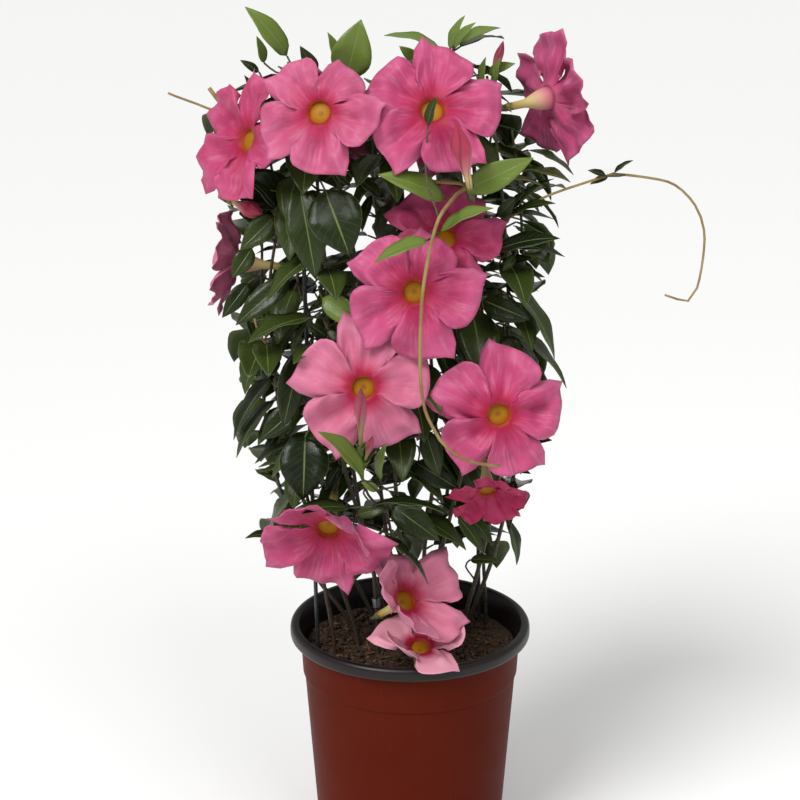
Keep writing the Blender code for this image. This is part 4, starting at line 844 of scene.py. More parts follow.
pot = {
    "rimRadius": 0.125, "height": 0.250, "rimHeight": 0.0135, "baseRadius": 0.0963, "neckRadius": 0.1145,
    "stepHeight": 0.196, "stepWidth": 0.0018, "wall": 0.0022, "floor": 0.003, "rimWidth": 0.0085,
    "drainRadius": 0.006, "drainCircle": 0.062, "drains": 4, "roughSides": 32, "steps": 128,
}
rimLow = pot["height"] - pot["rimHeight"]
stepRadius = pot["baseRadius"] + (pot["neckRadius"] - pot["baseRadius"]) * pot["stepHeight"] / rimLow
stepIn, stepOut = stepRadius - pot["stepWidth"] / 2, stepRadius + pot["stepWidth"] / 2

soil = {
    "top": 0.222, "relief": 0.0016, "crumbs": 0.0026, "heaps": 0.0030, "rings": 46, "steps": 150,
    "clods": 900, "fibres": 420,
}


def soilHeight(x, y):
    waves = math.sin(90 * x + 1) * math.cos(75 * y) + 0.6 * math.sin(160 * x - 120 * y)
    return soil["top"] + soil["relief"] * waves


def lathe(profile, sides):
    # turns a closed profile, given as radius and height, round the Z axis; radius 0 is one point
    points = []
    rings = []
    for radius, height in profile:
        if radius == 0:
            rings.append([len(points)] * sides)
            points.append(Vector((0, 0, height)))
            continue
        rings.append(list(range(len(points), len(points) + sides)))
        for corner in range(sides):
            turn = math.tau * corner / sides
            points.append(Vector((radius * math.cos(turn), radius * math.sin(turn), height)))
    faces = []
    for lower, upper in zip(rings, rings[1:]):
        for corner in range(sides):
            after = (corner + 1) % sides
            face = (lower[corner], lower[after], upper[after], upper[corner])
            faces.append(tuple(dict.fromkeys(face)))
    return points, faces


def innerWall():
    # the pot's inside from the top down, as radius and height
    wall = pot["wall"]
    return [(pot["rimRadius"] - pot["rimWidth"], pot["height"]), (pot["neckRadius"] - wall, rimLow - 0.002),
            (stepIn - wall, pot["stepHeight"] - 0.002), (pot["baseRadius"] - wall, pot["floor"])]


def potProfile():
    base, rim, top = pot["baseRadius"], pot["rimRadius"], pot["height"]
    outside = [(0, 0), (base - 0.004, 0), (base, 0.003), (stepIn, pot["stepHeight"]),
               (stepOut, pot["stepHeight"] + 0.0015), (pot["neckRadius"], rimLow - 0.001),
               (rim - 0.002, rimLow), (rim, rimLow + 0.003), (rim, top - 0.004), (rim - 0.0025, top)]
    return outside + innerWall() + [(0, pot["floor"])]


def wallRadius(height):
    wall = innerWall()
    for upper, lower in zip(wall, wall[1:]):
        if lower[1] <= height <= upper[1]:
            share = (height - lower[1]) / (upper[1] - lower[1])
            return lower[0] + (upper[0] - lower[0]) * share
    return wall[-1][0]


def soilBody():
    # the soil's foot and side, a gap inside the pot
    wall = [(radius - gap, height + gap) for radius, height in reversed(innerWall())
            if height < soil["top"] - 0.01]
    return [(0, wall[0][1])] + wall


def soilSolid():
    edge = wallRadius(soil["top"]) - gap - 0.0002
    points, faces = lathe(soilBody() + [(edge * share, soil["top"]) for share in (1.0, 0.72, 0.38, 0)],
                          pot["roughSides"])
    for point in points:
        if point.z == soil["top"] and math.hypot(point.x, point.y) < edge * 0.99:
            point.z = soilHeight(point.x, point.y)
    return points, faces


def hoopPath(heights, steps):
    # up one leg, round the arch and down the other leg
    left, right = (legPlace(hoop[side], hoop["shoulder"]) for side in ("left", "right"))
    middle = (left + right) / 2
    arch = []
    for number in range(steps + 1):
        turn = math.pi * number / steps
        rise = Vector((0, 0, (hoop["top"] - hoop["shoulder"]) * math.sin(turn)))
        arch.append(middle + (left - middle) * math.cos(turn) + rise)
    return ([legPlace(hoop["left"], height) for height in heights] + arch
            + [legPlace(hoop["right"], height) for height in reversed(heights)])


clip = {"height": 0.009, "wall": 0.0016, "level": 0.282, "turn": 300, "lip": 0.0012, "roughSteps": 9}


def clipPlace(path):
    # where the stem passes the clip's level, and its way there
    for start, end in zip(path, path[1:]):
        if start.z <= clip["level"] <= end.z:
            along = (end - start).normalized()
            return start + along * ((clip["level"] - start.z) / along.z), along


def clipSolid(path):
    # an open band round the stem
    centre, along = clipPlace(path)
    side = anySide(along)
    other = along.cross(side)
    points = []
    steps = clip["roughSteps"]
    for number in range(steps + 1):
        turn = math.radians(clip["turn"]) * number / steps
        out = side * math.cos(turn) + other * math.sin(turn)
        for reach in (stem["footRadius"] + 2 * gap, stem["footRadius"] + 2 * gap + clip["wall"]):
            for level in (-0.5, 0.5):
                points.append(centre + out * reach + along * (clip["height"] * level))
    faces = []
    for number in range(steps):
        low = 4 * number
        for first, second in ((0, 1), (1, 3), (3, 2), (2, 0)):
            faces.append((low + first, low + second, low + 4 + second, low + 4 + first))
    faces += [(0, 2, 3, 1), tuple(4 * steps + corner for corner in (0, 1, 3, 2))]
    return points, faces


def growPlant():
    # the whole plant as rough stand-ins, in the order of the solid model
    draw = random.Random(seed)
    plant = Plant()
    wire = hoopPath((hoop["foot"], soil["top"] + hoop["ground"]), hoop["roughArchSteps"])
    plant.add("hoop", "wire", *tube(wire, [hoop["radius"]] * len(wire), hoop["roughSides"]))
    growVines(plant, draw)
    growTwiners(plant, draw)
    plant.add("clip", "clip", *clipSolid(plant.paths["vine_front_left"]))
    plant.add("soil", "soil", *soilSolid())
    plant.add("pot", "pot", *lathe(potProfile(), pot["roughSides"]))
    growShoots(plant, draw)
    placeFallenBloom(plant)
    placeBlooms(plant)
    placeBuds(plant)
    placeLeaves(plant, draw)
    fillLeaves(plant, draw)
    return plant


def nearestOn(path, point):
    # the place on a fine stem that is nearest to a joint of the rough one
    best = None
    for start, end in zip(path, path[1:]):
        way = end - start
        share = max(0, min(1, (point - start).dot(way) / way.length_squared))
        place = start + way * share
        if best is None or (place - point).length < (best - point).length:
            best = place
    return best


def smoothRange(value, low, high):
    share = max(0, min(1, (value - low) / (high - low)))
    return share * share * (3 - 2 * share)


def startMesh(uvName=None):
    work = bmesh.new()
    work.verts.layers.float.new("tone")
    if uvName:
        work.loops.layers.uv.new(uvName)
    return work


def newMesh(name, work):
    mesh = bpy.data.meshes.new(name)
    work.to_mesh(mesh)
    work.free()
    return mesh


def newThing(name, data):
    thing = bpy.data.objects.new(name, data)
    bpy.context.scene.collection.objects.link(thing)
    return thing


def growTube(work, path, radii, sides, tones):
    # a ring of vertices is extruded from point to point, and both ends are closed
    toneLayer = work.verts.layers.float["tone"]
    side = None
    before = Matrix.Identity(4)
    verts = bmesh.ops.create_circle(work, cap_ends=False, segments=sides, radius=1)["verts"]
    firstEdges = edges = list({edge for vert in verts for edge in vert.link_edges})
    for index, centre in enumerate(path):
        along = (path[min(index + 1, len(path) - 1)] - path[max(index - 1, 0)]).normalized()
        if side is None:
            side = anySide(along)
        side = (side - along * side.dot(along)).normalized()
        if index > 0:
            grown = bmesh.ops.extrude_edge_only(work, edges=edges)["geom"]
            verts = [item for item in grown if isinstance(item, bmesh.types.BMVert)]
            ring = set(verts)
            edges = [item for item in grown
                     if isinstance(item, bmesh.types.BMEdge) and ring.issuperset(item.verts)]
        turned = Matrix((side, along.cross(side), along)).transposed().to_4x4()
        now = Matrix.Translation(centre) @ turned @ Matrix.Diagonal((radii[index],) * 3 + (1,))
        bmesh.ops.transform(work, matrix=now @ before.inverted(), verts=verts)
        before = now
        for vert in verts:
            vert[toneLayer] = tones[index]
    bmesh.ops.edgeloop_fill(work, edges=firstEdges)
    bmesh.ops.edgeloop_fill(work, edges=edges)


def growBlade(work, base, tip, leaf, tone, draw, columns=4, rows=10):
    # one leaf: a flat grid laid along the midrib, folded, arched and waved
    normal, width, arch, wave, _ = leaf
    axis = tip - base
    length = axis.length
    axis = axis.normalized()
    normal = (normal - axis * normal.dot(axis)).normalized()
    side = axis.cross(normal)
    phase = draw.uniform(0, math.tau)
    droop = draw.uniform(0.0, leafForm["droop"])
    twist = draw.uniform(-leafForm["twist"], leafForm["twist"])
    toneLayer = work.verts.layers.float["tone"]
    uvLayer = work.loops.layers.uv["leafUv"]
    for vert in bmesh.ops.create_grid(work, x_segments=columns, y_segments=rows, size=1)["verts"]:
        across, along = vert.co.x, (vert.co.y + 1) / 2
        for loop in vert.link_loops:
            loop[uvLayer].uv = ((across + 1) / 2, along)
        half = width / 2 * leafShare(along) * (1 - 0.30 * along ** 7)
        ripple = wave * half * 0.9 * math.sin(along * 13 + phase + across * 0.9) * abs(across) ** 2
        rise = leafForm["fold"] * half * abs(across) ** 1.2 + ripple
        rise += arch * length * 4 * along * (1 - along) - droop * length * along ** 3
        rise += twist * across * half * along
        vert.co = base + axis * length * along + side * half * across + normal * rise
        vert[toneLayer] = tone


def tableAt(table, share):
    # reads a table of rows that start with a share, and blends the two rows round it
    for near, far in zip(table, table[1:]):
        if share <= far[0] + 1e-6:
            part = (share - near[0]) / (far[0] - near[0])
            return [low + (high - low) * part for low, high in zip(near[1:], far[1:])]
    return table[-1][1:]


# relief of a petal as shares of the bloom's radius, and how far its flank slips under the next one
petalRelief = {
    "folds": 0.042, "ruffle": 0.045, "channel": 0.060, "crease": 0.060, "creaseWidth": 0.09,
    "crumple": 0.110, "roll": 0.090, "slipDegrees": 6, "slipDrop": 0.035,
}
throatForm = {"sides": 20, "top": 0.06, "low": 0.19, "bottom": 0.17, "topWidth": 0.98, "lowWidth": 0.14}


def growBloom(work, name, facts, tone):
    # tube, bell and five petals as one skin, whose face looks to the front and the inside
    radius, firstTip, spread, length = facts["radius"], facts["firstTip"], facts["spread"], facts["length"]
    draw = random.Random(name)
    mouth = bloomForm["mouth"] * min(1.0, radius / bloomForm["fullMouth"])
    narrow = bloomForm["tubeRadius"]
    toneLayer = work.verts.layers.float["tone"]
    uvLayer = work.loops.layers.uv["petalUv"]
    columns = bloomForm["columns"]
    grid = bmesh.ops.create_grid(work, x_segments=columns * 5, y_segments=bloomForm["tubeRows"], size=1)
    for vert in grid["verts"]:
        around, along = (1 - vert.co.x) / 2, (vert.co.y + 1) / 2
        for loop in vert.link_loops:
            loop[uvLayer].uv = (around, 0.35 * along)
        turn = math.radians(notchForm[0] + firstTip + 360 * around)
        opened = max(0, (along - 0.45) / 0.55)
        reach = narrow * (1 + 0.2 * min(1, along / 0.45))
        reach += (mouth - narrow * 1.2) * math.sin(opened * math.pi / 2) ** 1.3
        vert.co = (reach * math.cos(turn), reach * math.sin(turn), -length * (1 - along))
    for number in range(bloomForm["petals"]):
        fold = foldedPetals.get(name, {}).get(number, 0)
        grown = radius * draw.uniform(0.95, 1.04)
        sway = draw.uniform(-bloomForm["sway"], bloomForm["sway"])
        phase = draw.random() * math.tau
        grid = bmesh.ops.create_grid(work, x_segments=columns, y_segments=bloomForm["rows"], size=1)
        for vert in grid["verts"]:
            across, out = (1 - vert.co.x) / 2, (vert.co.y + 1) / 2
            for loop in vert.link_loops:
                loop[uvLayer].uv = ((number + across) / 5, 0.35 + 0.65 * out)
            edgeAngle, edgeShare = tableAt(bloomForm["outline"], across)
            fan = smoothRange(out, 0, 0.62)
            angle = (notchForm[0] + 72 * across) * (1 - fan) + edgeAngle * fan
            share = mouth / radius + (edgeShare - mouth / radius) * out
            reach = (radius + (grown - radius) * out) * share * (1 - 0.3 * abs(fold) * share)
            height = limbHeight(radius, share, spread) + sway * radius * share ** 2 * out
            height -= fold * radius * max(0, share - notchForm[1]) * 1.6
            height -= 0.05 * radius * math.sin(math.radians(angle * 3)) * share * out
            # folds that fan out, a ruffled edge, a channel, a crease, crumples and a rolled rim
            folds = math.sin(across * 8 + phase) + 0.6 * math.sin(across * 15 + phase * 3)
            relief = petalRelief["folds"] * folds * math.sin(math.pi * out) * smoothRange(out, 0.15, 0.6)
            relief += petalRelief["ruffle"] * math.sin(across * 21 + phase * 2) * smoothRange(out, 0.68, 1)
            channel = math.cos((across - 0.5) * math.tau)
            relief -= petalRelief["channel"] * channel * smoothRange(out, 0.0, 0.45)
            crease = math.exp(-((across - 0.5) / petalRelief["creaseWidth"]) ** 2)
            relief -= petalRelief["crease"] * crease * math.sin(math.pi * out) ** 2
            crumple = noise.noise(Vector((across * 2.6 + number * 7, out * 3.2, phase * 3)))
            relief += petalRelief["crumple"] * crumple * smoothRange(out, 0.18, 0.60)
            relief -= petalRelief["roll"] * smoothRange(out, 0.70, 1) * (0.3 + 0.7 * across)
            # the fallen bloom lies on the rim: only the part of it that rises is kept
            if name == "bloom_fallen":
                relief = (0.03 + max(0, relief + 0.02)) * smoothRange(out, 0, 0.4)
            # one flank slips under the next petal
            under = across * smoothRange(out, 0.12, 0.45)
            height += radius * relief
            height -= petalRelief["slipDrop"] * radius * across ** 2 * under
            turn = math.radians(firstTip + 72 * number + angle + petalRelief["slipDegrees"] * under)
            vert.co = (reach * math.cos(turn), reach * math.sin(turn), height)
    # a hollow cone that closes the throat; its colour runs from the orange-red ring at its rim to a darker
    # yellow at its centre, painted shade where the tube goes down
    cone = bmesh.ops.create_cone(work, cap_ends=False, segments=throatForm["sides"], radius1=1, radius2=0.12,
                                 depth=1)["verts"]
    for vert in cone:
        turn = math.atan2(vert.co.y, vert.co.x)
        # the rim takes the orange-red ring, the centre a darker yellow that is painted shade
        width, depth, shade = ((throatForm["topWidth"], throatForm["top"], 0.325) if vert.co.z < 0
                               else (throatForm["lowWidth"], throatForm["low"], 0.20))
        vert.co = (mouth * width * math.cos(turn), mouth * width * math.sin(turn), -depth * length)
        for loop in vert.link_loops:
            loop[uvLayer].uv = (turn / math.tau + 0.5, shade)
    bottom = [vert for vert in cone if vert.co.z < -0.1 * length]
    bmesh.ops.pointmerge(work, verts=bottom, merge_co=(0, 0, -throatForm["bottom"] * length))
    bmesh.ops.remove_doubles(work, verts=work.verts, dist=0.00002)
    for vert in work.verts:
        vert[toneLayer] = tone
    bmesh.ops.transform(work, matrix=facts["place"], verts=work.verts)


# share along the bud and of its largest radius
budOutline = ((0, 0.30), (0.12, 0.34), (0.30, 0.42), (0.45, 0.72), (0.58, 0.97), (0.70, 1.0), (0.80, 0.86),
              (0.90, 0.52), (0.97, 0.22), (1.0, 0.02))


def growBud(work, facts):
    # a twisted spindle: a grid rolled up, its ridges wound round it
    tip, base, radius = facts["tip"], facts["base"], facts["radius"]
    axis = tip - base
    side = anySide(axis.normalized())
    other = axis.normalized().cross(side)
    uvLayer = work.loops.layers.uv["petalUv"]
    toneLayer = work.verts.layers.float["tone"]
    for vert in bmesh.ops.create_grid(work, x_segments=20, y_segments=22, size=1)["verts"]:
        around, along = (1 - vert.co.x) / 2, (vert.co.y + 1) / 2
        for loop in vert.link_loops:
            loop[uvLayer].uv = (around, along)
        turn = math.tau * around
        ridge = 1 + 0.10 * math.sin(5 * turn + along * 9) * smoothRange(along, 0.25, 0.5)
        reach = radius * tableAt(budOutline, along)[0] * ridge
        vert.co = base + axis * along - (side * math.cos(turn) - other * math.sin(turn)) * reach
        vert[toneLayer] = 0.4
    bmesh.ops.remove_doubles(work, verts=work.verts, dist=0.00003)


def growSepals(work, seat, ahead, radius, length, draw):
    # five pointed sepals round the foot of a bloom
    side = anySide(ahead)
    for number in range(5):
        out = Matrix.Rotation(math.tau * number / 5 + 0.3, 3, ahead) @ side
        base = seat + out * radius * 0.75 - ahead * 0.0015
        tip = seat + out * radius * 1.5 + ahead * length * draw.uniform(0.85, 1.1)
        growBlade(work, base, tip, (out * -1, radius * 1.5, 0.08, 0.02, None), 0.7, draw, 2, 4)


def finishPiece(name, work, materials, replaced=None, shell=0):
    # the mesh becomes a piece of the part: smooth, riding on the one body, standing for its CAD node
    item = newThing(name, newMesh(name, work))
    item.data.shade_smooth()
    for material in materials:
        item.data.materials.append(material)
    if shell:
        skin = item.modifiers.new("Skin", "SOLIDIFY")
        skin.thickness = shell
        skin.offset = -1
        skin.use_rim = True
        skin.material_offset = 1
    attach(item, "root")
    if replaced:
        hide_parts(replaced)
    return item


def toLinear(code):
    shades = [int(code[start:start + 2], 16) / 255 for start in (1, 3, 5)]
    shades = [shade / 12.92 if shade <= 0.04045 else ((shade + 0.055) / 1.055) ** 2.4 for shade in shades]
    return (*shades, 1)


def plug(tree, socket, value):
    # a node gives its first output in use, a text is a colour, anything else is a plain value
    if isinstance(value, bpy.types.Node):
        value = next(output for output in value.outputs if output.enabled)
    if isinstance(value, bpy.types.NodeSocket):
        tree.links.new(value, socket)
    else:
        socket.default_value = toLinear(value) if isinstance(value, str) else value


def addNode(tree, kind, *values, **settings):
    # values go into the node's sockets in order, settings into a socket or a property by name
    node = tree.nodes.new("ShaderNode" + kind)
    for key, value in settings.items():
        if key == "stops":
            ramp = node.color_ramp
            while len(ramp.elements) < len(value):
                ramp.elements.new(0.5)
            for element, (position, code) in zip(ramp.elements, value):
                element.position = position
                element.color = toLinear(code)
        elif key in node.inputs:
            plug(tree, node.inputs[key], value)
        else:
            setattr(node, key, value)
    for socket, value in zip([socket for socket in node.inputs if socket.enabled], values):
        plug(tree, socket, value)
    return node


def startMaterial(name):
    material = bpy.data.materials.new(name)
    material.use_nodes = True
    return material, material.node_tree


def finishMaterial(material, colour, roughness, bump=None, **settings):
    # bump is what gives the height, its strength and its depth
    tree = material.node_tree
    if bump:
        settings["Normal"] = addNode(tree, "Bump", Height=bump[0], Strength=bump[1], Distance=bump[2])
    shader = tree.nodes["Principled BSDF"]
    for key, value in {"Base_Color": colour, "Roughness": roughness, **settings}.items():
        plug(tree, shader.inputs[key.replace("_", " ")], value)
    return material


def leafMaterial(name, dark, light, young, rib, roughness, gloss, ribRaise):
    # waxed leaf: a deep green that shines, with a pale midrib and sunken side veins
    material, tree = startMaterial(name)
    where = addNode(tree, "TexCoord").outputs["Object"]
    parts = addNode(tree, "SeparateXYZ", addNode(tree, "UVMap", uv_map="leafUv")).outputs
    tone = addNode(tree, "Attribute", attribute_name="tone").outputs["Fac"]
    centred = addNode(tree, "Math", parts["X"], 0.5, operation="SUBTRACT")
    across = addNode(tree, "Math", centred, operation="ABSOLUTE")
    # mottling of 12 mm and 2 mm
    mottle = addNode(tree, "TexNoise", where, Scale=80, Detail=4, Roughness=0.6)
    green = addNode(tree, "Mix", mottle, dark, light, data_type="RGBA")
    aged = addNode(tree, "Mix", tone, green, young, data_type="RGBA")
    midrib = addNode(tree, "MapRange", across, 0.010, 0.026, 1, 0)
    # about nine side veins a side, running towards the tip
    slant = addNode(tree, "Math", across, -4.6, operation="MULTIPLY")
    phase = addNode(tree, "Math", parts["Y"], 9.0, slant, operation="MULTIPLY_ADD")
    bounce = addNode(tree, "Math", phase, 0.5, operation="PINGPONG")
    vein = addNode(tree, "MapRange", bounce, 0, 0.075, 1, 0)
    faint = addNode(tree, "Math", vein, 0.15, operation="MULTIPLY")
    margin = addNode(tree, "MapRange", across, 0.484, 0.494, 0, 0.6)
    inside = addNode(tree, "Math", faint, midrib, operation="MAXIMUM")
    lines = addNode(tree, "Math", inside, margin, operation="MAXIMUM")
    soft = addNode(tree, "Math", lines, 0.62, operation="MULTIPLY")
    ribbed = addNode(tree, "Mix", soft, aged, rib, data_type="RGBA")
    shine = addNode(tree, "MapRange", mottle, 0, 1, roughness - 0.06, roughness + 0.10)
    grain = addNode(tree, "TexNoise", where, Scale=900, Detail=2)
    relief = addNode(tree, "Math", lines, ribRaise, grain, operation="MULTIPLY_ADD")
    return finishMaterial(material, ribbed, shine, (relief, 0.35, 0.0006), Specular_IOR_Level=gloss)


def petalMaterial(name, stops, pale, deep, streak, roughness):
    # petal: satin skin with paler streaks that fan out from the throat
    material, tree = startMaterial(name)
    where = addNode(tree, "TexCoord").outputs["Object"]
    uv = addNode(tree, "UVMap", uv_map="petalUv")
    out = addNode(tree, "SeparateXYZ", uv).outputs["Y"]
    tone = addNode(tree, "Attribute", attribute_name="tone").outputs["Fac"]
    stretched = addNode(tree, "Mapping", uv, Scale=(85, 3.0, 1))
    ray = addNode(tree, "TexNoise", stretched, Scale=1, Detail=3, Roughness=0.6)
    # the colours run from the bottom of the tube to the tips, frayed outside the throat
    wander = addNode(tree, "Math", ray, -0.20, out, operation="MULTIPLY_ADD")
    shifted = addNode(tree, "Math", wander, 0.10, operation="ADD")
    outer = addNode(tree, "MapRange", out, 0.34, 0.38)
    spoke = addNode(tree, "Mix", outer, out, shifted, data_type="FLOAT")
    ramp = addNode(tree, "ValToRGB", spoke, stops=stops)
    away = addNode(tree, "MapRange", out, 0.42, 0.58)
    rays = addNode(tree, "MapRange", ray, 0.50, 0.72, 0, 0.55)
    shown = addNode(tree, "Math", rays, away, operation="MULTIPLY")
    streaked = addNode(tree, "Mix", shown, ramp, streak, data_type="RGBA")
    # clouding of about 25 mm
    cloud = addNode(tree, "TexNoise", where, Scale=40, Detail=3, Roughness=0.55)
    cloudShare = addNode(tree, "MapRange", cloud, 0.45, 0.7, 0, 0.45)
    deepShare = addNode(tree, "MapRange", tone, 0.5, 0, 0, 0.8)
    deepSum = addNode(tree, "Math", deepShare, cloudShare, operation="ADD")
    deepAway = addNode(tree, "Math", deepSum, away, operation="MULTIPLY")
    deeper = addNode(tree, "Mix", deepAway, streaked, deep, data_type="RGBA")
    paleShare = addNode(tree, "MapRange", tone, 0.5, 1, 0, 0.85)
    paleAway = addNode(tree, "Math", paleShare, away, operation="MULTIPLY")
    paler = addNode(tree, "Mix", paleAway, deeper, pale, data_type="RGBA")
    return finishMaterial(material, paler, roughness, (ray, 0.30, 0.0006), Specular_IOR_Level=0.25,
                          Sheen_Weight=0.10, Sheen_Roughness=0.4)


def stemMaterial(name, bark, green, red):
    # stem: brown and corky at the foot, green with a red flush higher up
    material, tree = startMaterial(name)
    where = addNode(tree, "TexCoord").outputs["Object"]
    tone = addNode(tree, "Attribute", attribute_name="tone").outputs["Fac"]
    patch = addNode(tree, "TexNoise", where, Scale=55, Detail=3)
    cork = addNode(tree, "TexNoise", where, Scale=700, Detail=4)
    flush = addNode(tree, "MapRange", patch, 0.42, 0.62)
    live = addNode(tree, "Mix", flush, green, red, data_type="RGBA")
    aged = addNode(tree, "Mix", tone, bark, live, data_type="RGBA")
    speck = addNode(tree, "MapRange", cork, 0.55, 0.70, 0, 0.5)
    dusted = addNode(tree, "Mix", speck, aged, "#8a7a5c", data_type="RGBA")
    return finishMaterial(material, dusted, 0.55, (cork, 0.5, 0.0004))


def budMaterial(name, stops):
    # rolled bud: green and cream below, pink above, with dark red streaks that wind round it
    material, tree = startMaterial(name)
    parts = addNode(tree, "SeparateXYZ", addNode(tree, "UVMap", uv_map="petalUv")).outputs
    ramp = addNode(tree, "ValToRGB", parts["Y"], stops=stops)
    turn = addNode(tree, "Math", parts["Y"], 1.4, operation="MULTIPLY")
    wound = addNode(tree, "Math", parts["X"], 5.0, turn, operation="MULTIPLY_ADD")
    bounce = addNode(tree, "Math", wound, 0.5, operation="PINGPONG")
    line = addNode(tree, "MapRange", bounce, 0.03, 0.16, 0.75, 0)
    streaked = addNode(tree, "Mix", line, ramp, "#6e1530", data_type="RGBA")
    return finishMaterial(material, streaked, 0.5, (bounce, 0.4, 0.0005), Sheen_Weight=0.1)


def potMaterial(name, main, shade, dust, roughness, gloss):
    # injection-moulded polypropylene: dull sheen, flow marks round it, fine scratches and dust specks
    material, tree = startMaterial(name)
    where = addNode(tree, "TexCoord").outputs["Object"]
    cloud = addNode(tree, "TexNoise", where, Scale=14, Detail=4, Roughness=0.6)
    body = addNode(tree, "Mix", cloud, main, shade, data_type="RGBA")
    longWay = addNode(tree, "Mapping", where, Scale=(1, 1, 0.06))
    scratch = addNode(tree, "TexNoise", longWay, Scale=420, Detail=3)
    ringWay = addNode(tree, "Mapping", where, Scale=(0.05, 0.05, 1))
    flow = addNode(tree, "TexNoise", ringWay, Scale=300, Detail=3)
    marks = addNode(tree, "MapRange", scratch, 0.66, 0.80, 0, 0.22)
    scratched = addNode(tree, "Mix", marks, body, dust, data_type="RGBA")
    cell = addNode(tree, "TexVoronoi", where, Scale=130, Randomness=1.0)
    pick = addNode(tree, "TexNoise", where, Scale=45, Detail=2)
    dot = addNode(tree, "MapRange", cell, 0.05, 0.10, 0.55, 0)
    few = addNode(tree, "MapRange", pick, 0.50, 0.60)
    spots = addNode(tree, "Math", dot, few, operation="MULTIPLY")
    specked = addNode(tree, "Mix", spots, scratched, dust, data_type="RGBA")
    shine = addNode(tree, "MapRange", cloud, 0, 1, roughness - 0.10, roughness + 0.12)
    both = addNode(tree, "Math", scratch, flow, operation="ADD")
    return finishMaterial(material, specked, shine, (both, 0.12, 0.0004), Specular_IOR_Level=gloss)


def peatMaterial(name, dark, middle, light):
    # peat: dark crumbs with brown fibre and a few pale grains
    material, tree = startMaterial(name)
    where = addNode(tree, "TexCoord").outputs["Object"]
    crumb = addNode(tree, "TexNoise", where, Scale=260, Detail=6, Roughness=0.7)
    ramp = addNode(tree, "ValToRGB", crumb, stops=((0.36, dark), (0.54, middle), (0.72, light)))
    return finishMaterial(material, ramp, 0.95, (crumb, 0.8, 0.0015))


def metalMaterial(name, colour, worn, roughness, metallic, scale):
    # drawn wire in a dull coat, or bare galvanised steel
    material, tree = startMaterial(name)
    where = addNode(tree, "TexCoord").outputs["Object"]
    wear = addNode(tree, "TexNoise", where, Scale=scale, Detail=5, Roughness=0.65)
    share = addNode(tree, "MapRange", wear, 0.52, 0.70, 0, 0.7)
    coat = addNode(tree, "Mix", share, colour, worn, data_type="RGBA")
    shine = addNode(tree, "MapRange", wear, 0, 1, roughness - 0.08, roughness + 0.14)
    return finishMaterial(material, coat, shine, (wear, 0.2, 0.0003), Metallic=metallic)


# waxed upper side, matt paler underside
leafFace = leafMaterial("waxedLeaf", "#0a1006", "#1a270d", "#6b7f36", "#7d8e54", 0.21, 0.26, -1.6)
leafBack = leafMaterial("leafUnderside", "#28331c", "#343f21", "#697a38", "#6a7a4a", 0.50, 0.15, 1.6)
# the dark yellow-brown first stops are painted shade, darker down the tube and at the middle of the throat's
# cone
petalFace = petalMaterial(
    "satinPetal",
    ((0.0, "#6e4806"), (0.20, "#8a5a06"), (0.25, "#ab760a"), (0.305, "#a86c0a"), (0.337, "#a23a12"),
     (0.375, "#940f2e"), (0.50, "#aa2452"), (0.64, "#b23e6a"), (1.0, "#bc547e")),
    "#d99aaa", "#9c1848", "#c67e9c", 0.50)
petalBack = petalMaterial(
    "petalUnderside",
    ((0.0, "#7e5026"), (0.07, "#a8924e"), (0.18, "#bfae74"), (0.25, "#c79a80"), (0.33, "#bb5f7c"),
     (0.50, "#ae3e6a"), (1.0, "#b24c76")),
    "#cf9aa8", "#a02a58", "#c084a0", 0.52)
stemSkin = stemMaterial("corkyStem", "#332619", "#39451f", "#47261a")
runnerSkin = stemMaterial("runnerSkin", "#8a6a42", "#938048", "#84603a")
ripeBud = budMaterial(
    "ripeBud", ((0.0, "#7d8444"), (0.22, "#c8b078"), (0.40, "#c4707c"), (0.62, "#ad2448"), (1.0, "#9a1f3c")))
greenBud = budMaterial(
    "greenBud", ((0.0, "#4d5a26"), (0.30, "#8f8a48"), (0.46, "#9c6a5c"), (0.68, "#9c3450"), (1.0, "#6f2034")))
brownPlastic = potMaterial("polypropyleneBrown", "#581c0e", "#4c150a", "#70402f", 0.44, 0.03)
blackPlastic = potMaterial("polypropyleneBlack", "#130d0b", "#1c1512", "#4c433e", 0.36, 0.30)
darkPeat = peatMaterial("milledPeat", "#1e140d", "#452f1f", "#75583e")
barkChips = peatMaterial("barkFibre", "#3d2a1c", "#6b4c32", "#9a7a55")
coatedWire = metalMaterial("coatedWire", "#2b2d30", "#55585c", 0.42, 0.0, 260)
clipSteel = metalMaterial("galvanisedSteel", "#9b9ea1", "#6f7274", 0.34, 1.0, 420)
print("materials ready")


plant = growPlant()
growInnerLeaves(plant)

stemPaths = {}
for kind, owner, facts in plant.parts:
    if kind in ("stem", "shoot"):
        facts["fine"] = smoothPath(facts["path"], stem["step"])
        stemPaths.setdefault(owner, []).append(facts["fine"])

stemWorks = {}
leafWorks = {}
leafDraw = random.Random(seed + 9)
runnerShoots = ("runner_right", "runner_front", "twig_left", "stub", "arc_left")


def ownMesh(works, owner, uvName=None):
    if owner not in works:
        works[owner] = startMesh(uvName)
    return works[owner]


def stemTone(place):
    return smoothRange(place.z, *stem["bark"])


def rootOn(owner, point):
    places = [nearestOn(path, point) for path in stemPaths[owner]]
    return min(places, key=lambda place: (place - point).length)


def fineStalk(owner, path):
    return smoothPath([rootOn(owner, path[0])] + path[1:], stem["stalkStep"])


def dressStem(owner, facts):
    # with slight swellings where leaves sit
    fine = facts["fine"]
    radii = [radius * (1 + stem["swelling"] * math.sin(number * 1.7) ** 6)
             for number, radius in enumerate(taper(fine, *facts["radii"]))]
    work = ownMesh(stemWorks, owner + ("Runner" if facts.get("name") in runnerShoots else ""))
    growTube(work, fine, radii, stem["sides"], [stemTone(place) for place in fine])


